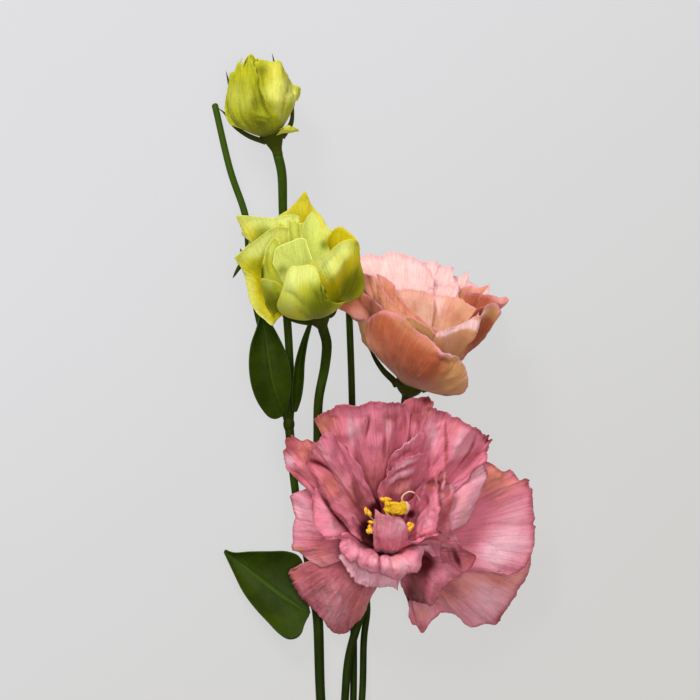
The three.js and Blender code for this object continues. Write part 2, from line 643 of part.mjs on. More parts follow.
// The closed bud at the far end, its petals still wound round each other
const CLOSED = {
  seat: [-31.8, 118.5, 14],
  axis: [-0.27, 0.96, 0],
  throat: 1.8,
  mouth: 11,
  tube: 8,
  petals: {
    left_front: {
      rim: [
        [-45.2, 131.5, 9], [-44, 134.5, 10], [-44.9, 138.4, 11], [-43.4, 138.2, 13], [-42.8, 141.6, 14],
        [-41.9, 141, 15.5], [-41.4, 142.4, 16], [-39.9, 141.4, 17.5], [-39.4, 142.9, 17.5],
        [-37.8, 141.6, 18.5], [-37, 138.5, 20.5], [-36.7, 135, 22.5], [-35.4, 132, 24],
        [-34.4, 129, 24.5], [-32.4, 125.2, 24],
      ],
      root: [165, 300], layer: 1.05, tube: [7, 4, 4, 4],
      bow: [[-1, -2.5, 1], [-3, -4.5, 3], [-2, -4, 4], [0, -1, 1]], swell: 1,
    },
    right_front: {
      rim: [
        [-38, 137.5, 19], [-37.4, 141.2, 17], [-35.3, 141.9, 16.5], [-32, 141.5, 16.5],
        [-29.6, 142.2, 16], [-28.2, 140, 15], [-26.6, 137.2, 14], [-24.9, 134.6, 13.5],
        [-23.2, 133.2, 13.5], [-23.4, 130, 13.5], [-26.2, 129.4, 15],
      ],
      root: [250, 375], layer: 0.95, bow: [[0.5, -1, 1], [0, -2, 2], [-4.5, 0, 1]], swell: 1,
    },
    back: {
      rim: [
        [-26, 131, 11], [-28, 136, 8], [-32, 139, 7], [-37, 139.5, 7], [-42, 137.5, 9],
      ],
      root: [20, 170], layer: 1, bow: [[0, -1, -1], [0, -2, -2], [0, -1, -1]],
    },
    crest: {
      rim: [
        [-41, 138, 12], [-40.2, 142.6, 12], [-38.9, 143.8, 12.5], [-38, 142.4, 13],
        [-36.6, 142.6, 13.5], [-35.5, 139, 14],
      ],
      root: [150, 60], layer: 0.7,
    },
    left_back: {
      rim: [
        [-44, 123, 12], [-46.2, 123.9, 12], [-46.8, 127, 12], [-46.2, 131, 11], [-44.2, 134.3, 10],
        [-42, 136, 10],
      ],
      root: [195, 150], layer: 1.1, tube: 7, bow: [[0, -1, 0], [0, -1, 0]],
    },
    side_tip: {
      rim: [
        [-30, 120, 18], [-27.6, 120.6, 18.5], [-25.4, 120.3, 18.5], [-23.4, 119.8, 18],
        [-25.6, 119.1, 18.5], [-28, 119, 19], [-30.6, 118.4, 19],
      ],
      root: [328, 300], layer: 0.8, tube: 1.8,
    },
  },
};

// Long rims are split into one row more than short ones.
function petalSolids(flower) {
  return Object.values(flower.petals).map((petal) => {
    const across = petal.rim.length - 1;
    const along = across > LONG_RIM ? PETAL_STEPS : PETAL_STEPS - 1;
    return solid(bladeGeometry(petalSurface(flower, petal), along, across, PETAL_THICKNESS));
  });
}

// A turned solid round a flower's axis. Each profile point is a radius and a height above the seat.
function turned(flower, profile) {
  const shape = new THREE.LatheGeometry(profile.map((p) => new THREE.Vector2(...p)), TURNED_SIDES);
  const { n } = axisFrame(flower.axis);
  shape.applyQuaternion(new THREE.Quaternion().setFromUnitVectors(new THREE.Vector3(0, 1, 0), n));
  shape.translate(...flower.seat);
  return solid(shape);
}

// The foot of the corolla, where all its petals grow together.
function footRadius(flower) {
  return flower.throat * WIDEST_LAYER + FOOT_MARGIN;
}

function footSolid(flower, grow = 0) {
  const radius = footRadius(flower) + grow;
  const bottom = -FOOT_DEPTH - grow;
  return turned(flower, [[0, bottom], [radius, bottom], [radius + FOOT_FLARE, FOOT_TOP], [0, FOOT_TOP]]);
}

// The body without the pockets that crossing petals close off inside it.
function whole(made) {
  const bodies = made.decompose();
  return bodies.reduce((largest, body) => (body.volume() > largest.volume() ? body : largest));
}

function aboveTable(made) {
  return made.trimByPlane([0, 0, 1], 0);
}

function corolla(flower) {
  return whole(aboveTable(join([footSolid(flower), ...petalSolids(flower)])));
}

// A calyx is a small cup round the foot of the corolla, with narrow sepals growing from its wall.
// Each sepal starts at an angle round the axis and goes on through its points.
const SEPALS = {
  pink: [
    [0, [11.5, -8.5, 10.5], [15, -8, 10.5]],
    [215, [-0.5, -15, 11], [-2.5, -18, 10]],
    [165, [-4, -6.5, 10], [-8, -5, 10]],
    [75, [6, -1.5, 7.5], [7.5, 3, 7]],
  ],
  salmon: [
    [190, [5.7, 42.4, 12.6], [2.8, 45.2, 12.4], [0, 49.2, 12.6], [-2, 53, 13]],
    [0, [18, 40.5, 12], [21, 43, 10]],
    [100, [9.5, 47, 7], [9, 53, 3]],
  ],
  opening: [
    [350, [-12.8, 63.4, 18], [-11.6, 65.8, 16]],
    [215, [-24.5, 60.9, 22.5], [-29, 62.4, 22.5]],
    [90, [-20, 70, 12], [-21, 76, 10.5]],
  ],
  closed: [
    [0, [-26.2, 122, 11.5], [-25.6, 126, 8], [-25.5, 129.7, 6]],
    [100, [-29.5, 126, 2.5], [-30, 135, 0.5], [-31.3, 141, 4], [-32, 144.2, 6]],
    [150, [-39.5, 125, 3.5], [-44.5, 132, 1.5], [-46.4, 138.7, 5]],
    [190, [-39.6, 118.6, 9], [-43.8, 121.6, 8.2], [-46.6, 125.3, 7.6], [-48.8, 127.2, 7.6]],
  ],
};

// The short stalk that carries the pink bloom, from its cup to the branch
const PINK_PEDICEL = [[3.2, -13.5, 4.4], [0.9, -17.6, 3.7]];

function calyx(flower, sepals, pedicel) {
  const outer = footRadius(flower) + CLEARANCE + CUP_WALL;
  const cup = turned(flower, [
    [0, CUP_BOTTOM],
    [CUP_STALK, CUP_BOTTOM],
    [CUP_STALK + 0.5, CUP_BOTTOM + 1.8],
    [outer * 0.85, CUP_BOTTOM + 3.4],
    [outer, CUP_TOP],
    [0, CUP_TOP],
  ]);
  const blades = sepals.map(([degrees, ...points]) => {
    const start = onAxis(flower, SEPAL_START, degrees, outer - CUP_WALL / 2);
    return solid(stalkGeometry([start, ...points], SEPAL_RADII, SEPAL_SIDES, SEPAL_STEP));
  });
  if (pedicel) {
    const start = onAxis(flower, PEDICEL_START);
    blades.push(solid(stalkGeometry([start, ...pedicel], PEDICEL_RADII, STEM_SIDES, SEPAL_STEP)));
  }
  return aboveTable(join([cup, ...blades]).subtract(footSolid(flower, CLEARANCE)));
}

// The stamens of the pink bloom stand on a ring round its ovary.
const RING_FLOOR = FOOT_TOP + CLEARANCE;

function stamens() {
  const ring = turned(PINK, [
    [RING_INNER, RING_FLOOR],
    [RING_OUTER, RING_FLOOR],
    [RING_OUTER, RING_FLOOR + RING_HEIGHT],
    [RING_INNER, RING_FLOOR + RING_HEIGHT],
    [RING_INNER, RING_FLOOR],
  ]);
  const made = [ring];
  const heart = onAxis(PINK, BEND_HEIGHT);
  for (const anther of ANTHERS) {
    const turn = THREE.MathUtils.radToDeg(Math.atan2(anther[1] - heart[1], anther[0] - heart[0]));
    const start = onAxis(PINK, RING_FLOOR + RING_HEIGHT / 2, turn, (RING_INNER + RING_OUTER) / 2);
    const bend = onAxis(PINK, BEND_HEIGHT, turn, RING_OUTER);
    made.push(solid(stalkGeometry([start, bend, anther], FILAMENT_RADII, 4, 7)));
    const lean = vec(anther).sub(vec(bend)).normalize();
    const side = new THREE.Vector3(lean.y, -lean.x, 0.3).normalize();
    const [left, right] = [-1, 1].map((d) => vec(anther).addScaledVector(side, d * ANTHER_HALF).toArray());
    made.push(solid(stalkGeometry([left, anther, right], ANTHER_RADII, 5, ANTHER_HALF)));
  }
  return join(made);
}

// The pistil ends in a broad stigma of two lobes, one on each side of the style.
const STIGMA_LOBES = [[-2.6, 1.3, -0.3], [2.8, -0.4, -0.3]];

function pistil() {
  const path = [RING_FLOOR, RING_FLOOR + 6, STYLE_BEND].map((height) => onAxis(PINK, height));
  const style = solid(stalkGeometry([...path, STIGMA], STYLE_RADII, 6, 3));
  const lobes = STIGMA_LOBES.map(([dx, dy, dz]) => {
    const [x, y, z] = STIGMA;
    const knee = [x + dx / 2, y + dy / 2, z + 0.5];
    return solid(stalkGeometry([STIGMA, knee, [x + dx, y + dy, z + dz]], LOBE_RADII, 7, 1.2));
  });
  return join([style, ...lobes]);
}

// Stems, from the cut end upwards, each with its radii along the way
const STEMS = {
  main: {
    points: [[-12.6, -143.2, 1.6], [-12, -128, 1.6], [-11.8, -115.6, 2.2]],
    radii: [1.7, 1.6, 1.9],
  },
  long_branch: {
    points: [
      [-11.8, -115.6, 2.2], [-14.5, -85, 2.4], [-16.9, -56.7, 2.6], [-17.7, -33, 3], [-18.3, -27.3, 3.2],
    ],
    radii: [1.5, 1.45, 1.45, 1.6],
  },
  long_branch_top: {
    points: [[-18.3, -27.3, 3.2], [-22, -8, 3.6], [-24.8, 8, 4.2], [-26.7, 28, 5]],
    radii: [1.4, 1.2, 1.2, 1.4],
  },
  opening_bud: {
    points: [
      [-18.3, -27.3, 3.2], [-18.2, -5, 5], [-17.8, 23.9, 8], [-17.5, 36.3, 10], [-15.5, 47, 12.5],
      [-15, 54, 15.5], [-16.1, 58.2, 17.7],
    ],
    radii: [1.4, 1.4, 1.35, 1.4, 1.6],
  },
  closed_bud: {
    points: [
      [-26.7, 28, 5], [-26.2, 38, 5], [-26.7, 51.8, 5], [-27.6, 66, 5], [-28.6, 93.6, 7], [-29, 107, 12],
      [-30.3, 112.9, 14],
    ],
    radii: [1.3, 1.2, 1.3, 1.3, 1.5],
  },
  cut_shoot: {
    points: [
      [-26.7, 28, 5], [-31, 44, 5], [-36.3, 62.3, 5.5], [-39, 79, 6.5], [-40.2, 93, 7], [-45, 107.6, 6],
      [-49.8, 127.9, 5],
    ],
    radii: [1.2, 1.1, 1.05, 1.05, 1],
  },
  pink_bloom: {
    points: [
      [-11.8, -115.6, 2.2], [-10.6, -85, 3], [-9.3, -56.7, 4], [-8.2, -44.3, 4.2], [-5.3, -33.5, 4.2],
      [-1.6, -22.6, 4], [0.5, -18.4, 3.6],
    ],
    radii: [1.4, 1.2, 1.2, 1.25, 1.4],
  },
  bare: {
    points: [[-8, -90, 2.2], [-6.7, -56.7, 2], [-6.7, -20, 2], [-7.1, 35.3, 3], [-8.1, 66, 4]],
    radii: [1.1, 1.05, 1.05, 1.05],
  },
  salmon_bloom: {
    points: [
      [-11.8, -115.6, 2.2], [-8, -90, 2.2], [-4, -56.7, 2.4], [-3.4, -38, 1.4], [-2.4, -29, 1.2],
      [-3.3, -18, 1.2], [-1.5, -5, 1.3], [4, 12, 2.5], [8, 28, 7], [9.7, 36.5, 12.5],
    ],
    radii: [1.3, 1.1, 1.05, 1.05, 1.1, 1.4],
  },
};

// Swollen nodes where branches part: their middles and radii
const NODES = [[[-11.8, -115.6, 2.3], 2.2], [[-18.3, -27.3, 3.2], 1.9], [[-26.8, 28.8, 5], 1.8]];

// The small bracts on the cut side shoot
const BRACTS = [
  [[-39, 79.6, 6.6], [-41.5, 78.4, 8], [-44.3, 74.1, 9]],
  [[-39.3, 79.4, 6.6], [-41, 81, 8], [-41.9, 83.5, 8.5]],
];

function stem() {
  const stalks = Object.values(STEMS).map(({ points, radii }) => solid(stalkGeometry(points, radii)));
  const nodes = NODES.map(([centre, radius]) => {
    const ball = new THREE.SphereGeometry(radius, 8, 5);
    ball.scale(1, NODE_LENGTH, 1);
    ball.translate(...centre);
    return solid(ball);
  });
  const bracts = BRACTS.map((points) => solid(stalkGeometry(points, BRACT_RADII, SEPAL_SIDES, SEPAL_STEP)));
  return aboveTable(join([...stalks, ...nodes, ...bracts]));
}

// Leaves: two edges and the midrib between them, base to tip
const LEAVES = {
  leaf_upper_left: {
    left: [
      [-28.6, 31.2, 8], [-31, 30.3, 10], [-33, 31, 11.5], [-35.3, 33.7, 13], [-37.2, 37.2, 15],
      [-38.6, 42, 16.5], [-39.1, 48, 17.5], [-38.5, 53.5, 17.5], [-36.8, 58.5, 17], [-35.7, 62.6, 16],
    ],
    rib: [
      [-28.2, 31.8, 7.6], [-30, 36, 10], [-31.8, 42, 12.5], [-33, 49, 14], [-34, 56, 14.5],
      [-35.2, 62.8, 15.5],
    ],
    right: [
      [-27.7, 32.3, 8], [-26.3, 38, 12.5], [-26, 43, 15], [-27, 49, 16], [-29.5, 55, 16.5], [-32, 59.5, 16.5],
      [-34.8, 63, 16],
    ],
  },
  leaf_upper_right: {
    left: [
      [-25.6, 32.4, 8.3], [-25.8, 37, 10.6], [-25.5, 42, 12.6], [-24.7, 48, 14.2], [-23, 54, 15.3],
      [-20.7, 60, 15.4],
    ],
    rib: [
      [-24.9, 32.5, 8.1], [-24.4, 37, 9.3], [-24, 42, 11], [-23.2, 48, 13], [-22, 54, 14.5],
      [-20.1, 60.2, 15.3],
    ],
    right: [
      [-24.2, 32.7, 8.3], [-22.9, 37, 10.8], [-22.2, 42, 13.4], [-21.9, 48, 15.6], [-21, 54, 16.2],
      [-19.5, 60.2, 15.6],
    ],
  },
  leaf_lower_left: {
    left: [
      [-20.6, -31, 5], [-22, -34, 6], [-22.8, -36.4, 6.5], [-24.3, -37.9, 7], [-26.8, -38.3, 7.5],
      [-29.5, -36.8, 8], [-33, -33.2, 8.5], [-37.5, -28.3, 8.5], [-41, -23.5, 8], [-44, -17.5, 7.5],
      [-46.9, -11.3, 7],
    ],
    rib: [
      [-20.3, -30.4, 4.6], [-24, -28, 5], [-30, -24, 5.4], [-36, -19.3, 5.6], [-42, -14.4, 6],
      [-46.9, -10.8, 6.6],
    ],
    right: [
      [-20.2, -29.8, 4.4], [-21, -24, 5], [-21.5, -18, 6], [-23.5, -12.6, 7], [-27, -11, 8],
      [-33, -10.9, 9.5], [-39, -11, 9], [-44, -11.3, 8], [-46.6, -10.4, 7],
    ],
  },
};

function leafSurface(leaf) {
  const edgeCurve = (points) => new THREE.CatmullRomCurve3(points.map(vec), false, "centripetal");
  const curves = [leaf.left, leaf.rib, leaf.right].map(edgeCurve);
  return (s, t) => {
    const [a, m, b] = curves.map((curve) => curve.getPointAt(s));
    const middle = a.clone().add(b).multiplyScalar(0.5);
    return a.lerp(b, t).addScaledVector(m.sub(middle), 4 * t * (1 - t));
  };
}

// The assembly
const spray = new THREE.Group();

function add(name, made, colour) {
  const material = new THREE.MeshStandardMaterial({ color: colour, roughness: 0.6, metalness: 0 });
  const mesh = new THREE.Mesh(geometryOf(made), material);
  mesh.name = name;
  spray.add(mesh);
}

add("pink_corolla", corolla(PINK), COLOURS.pinkPetal);
add("salmon_corolla", corolla(SALMON), COLOURS.salmonPetal);
add("opening_corolla", corolla(OPENING), COLOURS.openingPetal);
add("closed_corolla", corolla(CLOSED), COLOURS.closedPetal);
add("pink_calyx", calyx(PINK, SEPALS.pink, PINK_PEDICEL), COLOURS.calyx);
add("salmon_calyx", calyx(SALMON, SEPALS.salmon), COLOURS.calyx);
add("opening_calyx", calyx(OPENING, SEPALS.opening), COLOURS.calyx);
add("closed_calyx", calyx(CLOSED, SEPALS.closed), COLOURS.calyx);
add("pink_stamens", stamens(), COLOURS.pollen);
add("pink_pistil", pistil(), COLOURS.stigma);
add("stem", stem(), COLOURS.stem);
for (const [name, leaf] of Object.entries(LEAVES)) {
  add(name, solid(bladeGeometry(leafSurface(leaf), LEAF_ALONG, LEAF_ACROSS, LEAF_THICKNESS)), COLOURS.leaf);
}

export default spray;
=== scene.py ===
"""A cut lisianthus spray lying on a pale table: a wide open pink bloom, a half-open salmon bloom, an
opening green bud, a closed green bud, their calyces, three leaves and the branching stem.

The petals are fans of rays: each ray leaves the tube at the flower's seat, rises towards the mouth of
the throat and bends over to a point of the rim. Tables are in millimetres, the scene in metres."""

import math
from types import SimpleNamespace

import bpy
import numpy as np
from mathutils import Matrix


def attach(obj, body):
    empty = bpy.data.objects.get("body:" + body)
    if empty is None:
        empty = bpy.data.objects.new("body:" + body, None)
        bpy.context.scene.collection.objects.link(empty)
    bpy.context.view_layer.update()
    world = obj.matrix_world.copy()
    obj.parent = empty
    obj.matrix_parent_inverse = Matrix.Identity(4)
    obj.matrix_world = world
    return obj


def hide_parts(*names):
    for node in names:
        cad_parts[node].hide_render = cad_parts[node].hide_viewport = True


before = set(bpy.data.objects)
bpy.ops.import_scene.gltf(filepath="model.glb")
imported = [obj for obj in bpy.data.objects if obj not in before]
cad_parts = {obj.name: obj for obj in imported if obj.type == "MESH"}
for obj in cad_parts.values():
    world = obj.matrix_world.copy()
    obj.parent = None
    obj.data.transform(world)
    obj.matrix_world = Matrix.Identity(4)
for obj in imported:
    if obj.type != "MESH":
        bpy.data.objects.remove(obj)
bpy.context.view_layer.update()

MM = 0.001
# The ways in which a place on a petal leaves its body tone: to salmon and tan, to a milky lilac, to a
# dusty rose and to maroon on the pink bloom, and to like tones on the others. Besides the petals' own
# tones they carry painted light: pale paints highlights, deep and dark paint shade in gaps, creases and
# hollows, and warm paints some of the tan shade under overhanging petals
KINDS = WARM, PALE, DEEP, DARK = "warm", "pale", "deep", "dark"


def Petal(rim, root, layer=1, reach=0.5, tube=None, bow=((0, 0, 0),), swell=0, folds=(),
          ruffle=(0, 1, 0), **dress):
    """rim: points of the petal's edge, from one side to the other. root: the range of angles round the
    flower's axis where it grows. bow and tube: how far its rays bend and how high they rise first, at
    places from side to side. swell: how far its middle bulges. folds are (place from side to side, width,
    height), and ruffle is (height, count, phase).

    The dress has an amount of each of KINDS, all over the petal. Dabs add to it round a place seen from
    above, (x, y, radius, amount), and streaks along a line, (x, y, x, y, ..., width, amount); many deep and
    dark ones are painted shade in gaps, creases and hollows, and many pale ones are painted highlights.
    pleats raise or press a crease along a line, (x, y, x, y, ..., width, height), with painted shade along
    those pressed in and a painted highlight along those raised. teeth tear the rim round a place,
    (x, y, radius, depth), and scorched darkens them. ruffled scales the creases, and frill the waves of
    the rim. roll bends the rim back, but not at tips, (x, y), and hem paints a highlight along the rim. lit
    is a painted glow of the petal's own tone that stands in for the light that shines through, and fades
    keeps the rim's own tone off a petal."""
    return SimpleNamespace(rim=rim, root=root, layer=layer, reach=reach, tube=tube, bow=bow, swell=swell,
                           folds=folds, ruffle=ruffle, dress=dress)


def Flower(seat, axis, throat, mouth, tube, petals):
    """seat and axis place the tube, throat and mouth are its radii and tube its height."""
    return SimpleNamespace(seat=seat, axis=axis, throat=throat, mouth=mouth, tube=tube, petals=petals)


def arch(x, y, z):
    """A bow that is full in a petal's middle and half at its sides."""
    return [(x / 2, y / 2, z / 2), (x, y, z), (x / 2, y / 2, z / 2)]


# Many deep and dark dabs and streaks of the pink bloom are painted shade: in the gaps between petals, in its
# creases, on top_right where right_fold overhangs it, on the lower petals under the edges above them (with
# warm), in the hollow funnel low on the right, in the cave and at the lip's end. Many pale dabs and streaks
# are painted highlights on ridges and rims.
PINK = Flower(seat=(4, -9.5, 10), axis=(0, 0.32, 0.95), throat=2.5, mouth=7.5, tube=14, petals=dict(
    top=Petal([(-19, 30.5, 33), (-15.5, 33, 34), (-9, 34.7, 35), (-3, 35.3, 36), (3, 36.2, 36),
        (8, 35.2, 35), (11, 33, 34)], (150, 60), folds=[(0.3, 0.08, -1.8), (0.62, 0.07, 2),
        (0.8, 0.06, -1.6)], ruffle=(1.2, 3, 0),
        deep=0.12, teeth=[(-14, 32.5, 5, 0.5), (5, 35, 7, 0.35)],
        pleats=[(-1.8, 31.5, -2.2, 28, -3.3, 24.5, 0.5, -1.1), (2.9, 27, 2.6, 22, 1.6, 18.5, 0.6, -1.2),
        (5.2, 31, 4.4, 26, 3.4, 20, 0.9, 1.2), (-8.5, 31, -8, 25, -6.5, 18, 1.3, 0.9),
        (-13.5, 29.5, -11, 24, -8.5, 17, 0.7, -0.9), (-5.5, 20, -4.5, 12, -3, 5, 0.6, -0.8),
        (0.5, 24, -0.5, 15, -1, 8, 1.2, 0.7), (8.7, 33, 9.6, 28, 9, 24, 0.6, -0.9),
        (-7.5, 30.5, -4, 31.2, -1, 30.6, 0.6, -0.5), (3.5, 31.5, 6, 30.5, 8.5, 31.5, 0.6, -0.7)],
        warm_dabs=[(-16.5, 29.5, 5, 0.9), (-0.6, 14, 6, 0.5), (-5, 9, 4, 0.5)],
        pale_streaks=[(4.5, 33, 3.8, 30, 3.6, 27, 0.5, 0.8), (-8, 31, -7.4, 26, -6.6, 21, 0.6, 0.7)],
        pale_dabs=[(-5.5, 27.4, 4, 0.5)], deep_streaks=[(3.3, 26, 3, 22, 2.4, 18, 0.4, 1.3),
        (-1.5, 30.5, -2.2, 27.5, -3, 25, 0.35, 1.2), (-6, 19.4, -4.7, 11.5, -3.4, 3, 1.6, 0.8)],
        deep_dabs=[(-17.5, 31, 3, 0.3), (-11, 30, 3.5, 0.2), (1, 29.5, 3, 0.25), (4.5, 31.5, 2.2, 0.6),
        (8.5, 29, 2.5, 0.4), (-0.6, 14, 7, 0.3), (-5, 9, 4, 0.5), (3, 10, 4, 0.4)],
        dark_streaks=[(-2, 9, 0, 4, 1.5, 1, 2.2, 0.6), (-14.5, 31.5, -12.5, 31, -11, 29.5, 0.35, 0.7),
        (-15.5, 29, -14.4, 27.8, -14, 26, 0.4, 0.5)]),
    top_back=Petal([(7, 34, 28), (10, 36.3, 28), (13, 37.2, 28), (16.5, 37, 29), (17.7, 35.3, 30)],
        (80, 50), 1.15,
        deep=0.6, teeth=[(15, 36.5, 4, 0.8)], warm_dabs=[(17.8, 34.3, 1.5, 0.8)],
        dark_dabs=[(16, 36.2, 1.6, 0.7)]),
    top_right=Petal([(11, 32, 32), (14.5, 34, 34), (17, 35, 34), (19.5, 33, 35), (24, 30.8, 35),
        (29, 29.3, 34), (33, 26.5, 33), (36, 23, 31), (35, 20.5, 30), (34.5, 18, 29), (29, 14, 28),
        (25, 9, 28)], (70, 0), 1.05, folds=[(0.14, 0.07, 2.4), (0.31, 0.05, -2.2), (0.47, 0.06, 1.6),
        (0.6, 0.05, -1.8), (0.78, 0.06, 1.2)],
        teeth=[(35, 24, 3, 1.0), (34, 21, 2, 0.8), (24, 30, 6, 0.35), (18, 33.5, 3, 0.5)],
        pleats=[(21.3, 31, 21.9, 25, 22.2, 17.5, 0.7, -1.7), (31.6, 26.4, 29.9, 20.8, 25.4, 14.6, 0.7, -1.2),
        (17.5, 31, 18, 24, 18, 16, 1.8, 1.4), (13, 31.5, 14, 26, 14.2, 20, 0.7, -1.2),
        (27, 29, 26, 24, 24, 18, 1.1, 0.8), (34, 20.5, 30, 17.5, 26, 13.5, 0.6, -0.9)],
        warm_dabs=[(16.5, 33, 2, 0.7), (24.5, 28, 4, 0.35)], pale_dabs=[(29, 26, 3, 0.3), (26, 22, 4, 0.45),
        (16.5, 25, 3.5, 0.25)], deep_streaks=[(21.4, 29, 21.9, 24, 22.1, 16, 0.5, 1.1),
        (31.2, 26, 29.7, 21, 25.8, 15.2, 0.5, 0.9)], deep_dabs=[(11, 31, 2.5, 0.6), (13.8, 31.8, 2.4, 0.9),
        (29.5, 14.5, 3, 0.3), (32.5, 20, 3, 0.35), (29, 17.5, 3, 0.15), (22.5, 18, 1.8, 0.4),
        (18, 16, 4, 0.3)], dark_dabs=[(34.8, 23.8, 1.4, 0.4)]),
    right_fold=Petal([(33.5, 17.5, 27), (35.2, 13.2, 27.5), (33.6, 8.5, 27.5), (32.2, 4.3, 27),
        (30.6, 0.6, 26.5), (28.3, -2.9, 26.5), (24, -4.5, 27)], (35, -25), 1.1, reach=0.6,
        bow=arch(-3, 0, 7),
        warm=0.1, pale=0.45, ruffled=0.12, roll=1.1, pleats=[(30.4, 3.4, 29.4, 2.4, 28.5, 1.2, 0.5, 0.6),
        (31, 5, 31.3, 1, 29, -2, 1.2, -0.3)], warm_dabs=[(26, 4, 3.5, 0.35), (29.5, -1, 3.5, 0.5)],
        pale_dabs=[(33, 14, 3, 0.3)], deep_dabs=[(31, -1, 2, 0.35)]),
    right=Petal([(32.5, 17.8, 22), (37, 16, 20), (40, 14, 19), (42.3, 14.7, 18), (45, 11.7, 17),
        (47.5, 12.3, 17), (49, 8.5, 16), (49.6, 2, 15), (50, -4, 14), (49.3, -10, 14), (46.5, -15.8, 15),
        (43, -18, 16), (39, -17.2, 18), (34.5, -17.4, 19), (30, -16.5, 20), (26, -13.5, 22),
        (23.5, -8.5, 24)], (25, -50), 1.2, bow=[(0, 0, 2), (0, 0, 4), (0, 0, 3)],
        ruffled=0.5, teeth=[(47.5, 11, 3, 0.7), (50, -2, 9, 0.35)], pleats=[(33, 4, 40, 7, 47, 8, 0.9, -0.5),
        (31, -2, 40, -2.5, 48.5, -3, 0.8, -0.4), (30, -6, 39, -10, 46, -13.5, 0.9, -0.5),
        (29, -9, 36, -14.5, 40, -16.5, 0.7, -0.4), (36.5, 15, 38.5, 11, 38, 6, 0.8, 0.7)],
        warm_dabs=[(37.5, 14, 3, 1.0), (41.5, 10.5, 3, 0.5), (47, 11, 2, 0.7), (35, 10, 3, 0.5),
        (38, 7, 5, 0.4), (34, -3, 3, 0.3), (48.5, -12.5, 2.5, 0.6)], pale_dabs=[(41.5, -7, 8, 0.75),
        (36, -12.5, 5, 0.6), (44, 3, 5, 0.3)], deep_dabs=[(47, 11, 2.2, 0.5), (49.5, 3, 2, 0.4),
        (35, 7, 5, 0.3), (29, -8, 3, 0.4)]),
    side_fold=Petal([(21.3, -1.5, 29), (24.6, -5.7, 29.5), (26.6, -9.2, 29), (30, -11.6, 27.4),
        (31.3, -12.3, 27), (30.2, -15, 26), (27.4, -17.4, 25), (24, -14, 25.5), (22.5, -9.5, 27)],
        (-20, -48),
        warm=0.25, deep=0.5, ruffled=0.3, pleats=[(22, -3, 26, -10, 28, -15.5, 0.6, -0.8)],
        pale_streaks=[(16.7, -8.5, 20, -8.4, 23.5, -9, 0.5, 1.0),
        (24.5, -6, 27.5, -9.5, 30.5, -12, 0.5, 0.6)], pale_dabs=[(25, -6.5, 1.6, 0.5)],
        deep_dabs=[(29.5, -12.5, 2, 0.5)], dark_streaks=[(23.5, -8.5, 25.2, -12.2, 26.9, -16.4, 0.8, 0.8)],
        dark_dabs=[(22.6, -3.5, 1.6, 0.6), (25.5, -13, 2, 0.4)]),
    lower_right=Petal([(49, -10, 10), (48, -17, 8), (45.5, -22.5, 7), (42.5, -27.5, 6), (40.3, -31, 5),
        (38, -34, 4), (34, -34, 3), (30, -34.7, 2), (26, -32, 2), (22, -30.3, 2), (18.5, -32, 0.4),
        (15, -36.7, -0.15), (12.5, -34.5, 0), (11, -31.5, 4), (12, -25, 6)], (-15, -76), 1.3,
        tube=(14, 13, 9, 4), bow=[(0, 0, 3), (0, 0, 5), (0, 0, 0), (2, 0, -4)],
        warm=0.2, pale=0.35, ruffled=0.5, teeth=[(46, -22, 5, 0.4), (41, -30, 5, 0.4)],
        pleats=[(26, -24, 34, -27, 41, -28.5, 0.6, -0.6), (24, -26, 30, -31, 36, -33.5, 0.5, -0.4),
        (17, -24, 19, -28, 18.5, -31.5, 0.8, -0.6), (28, -19, 35, -21.5, 44, -24, 1.0, 0.5)],
        warm_dabs=[(38.7, -18.6, 5, 1.0), (45, -18, 3, 0.7), (30, -20.5, 3, 0.6), (23.6, -22.6, 4.5, 1.0),
        (15, -30, 3, 0.6)], pale_dabs=[(35, -26, 5, 0.4)], deep_dabs=[(38.7, -18.6, 4.5, 0.5),
        (23.6, -22.6, 4, 0.8), (39, -32.5, 2.8, 0.7), (15, -35, 2.2, 0.7)]),
    # A funnel whose left half, deep inside, is painted dark: painted shade.
    lower_shaded=Petal([(20.5, -9, 28), (21, -13.8, 26), (26.8, -17.5, 25), (22.8, -20.6, 24),
        (20.2, -24, 22), (17.6, -26.8, 19), (14, -26.6, 15), (11.5, -26.5, 14), (9.9, -26.6, 13),
        (10.8, -23, 15), (10.8, -19, 18.5)], (-25, -90), 1.12, bow=[(0, 0, 3), (0, 0, 3), (0, 0, 1)],
        folds=[(0.42, 0.12, 1.5)],
        deep=0.6, teeth=[(9.8, -21, 7, 0.9), (13, -26.5, 5, 0.4)],
        pleats=[(17.5, -13, 18.2, -20, 17.5, -26, 0.8, 1.0), (15.5, -14, 15.5, -20, 15, -26, 0.8, -0.7)],
        warm_dabs=[(12.5, -20.5, 4, 0.5)], pale_dabs=[(22.5, -17, 3, 0.3)], deep_dabs=[(21, -14, 3, -0.4),
        (19.5, -19, 3, -0.5), (13, -25, 3, 0.6)], dark_dabs=[(14, -15, 4, 0.9), (12.5, -20.5, 4, 0.4),
        (16.5, -14, 3, 0.6), (11, -24.5, 3, 0.6)]),
    lip=Petal([(20.6, -7.6, 29), (19.8, -12.8, 28), (16.3, -9.3, 30), (15.3, -12.5, 30),
        (13.5, -16.8, 29.5), (10, -17.5, 29.5), (7, -19.8, 28), (3.5, -18, 29.5), (1.3, -17.2, 30.5),
        (-2, -17.2, 30.5), (-5.5, -14.3, 31), (-9, -12.5, 31), (-11, -9, 31), (-10.5, -5, 31)], (-25, -170),
        0.95, reach=0.6, tube=13, bow=[(0, 2, 4), (0, 4, 9), (0, 4, 9), (0, 2, 4)],
        warm=0.1, pale=0.12, ruffled=0.8, lit=0.06, pleats=[(1.4, -9.5, 1.3, -13, 0.8, -17, 0.45, -1.3),
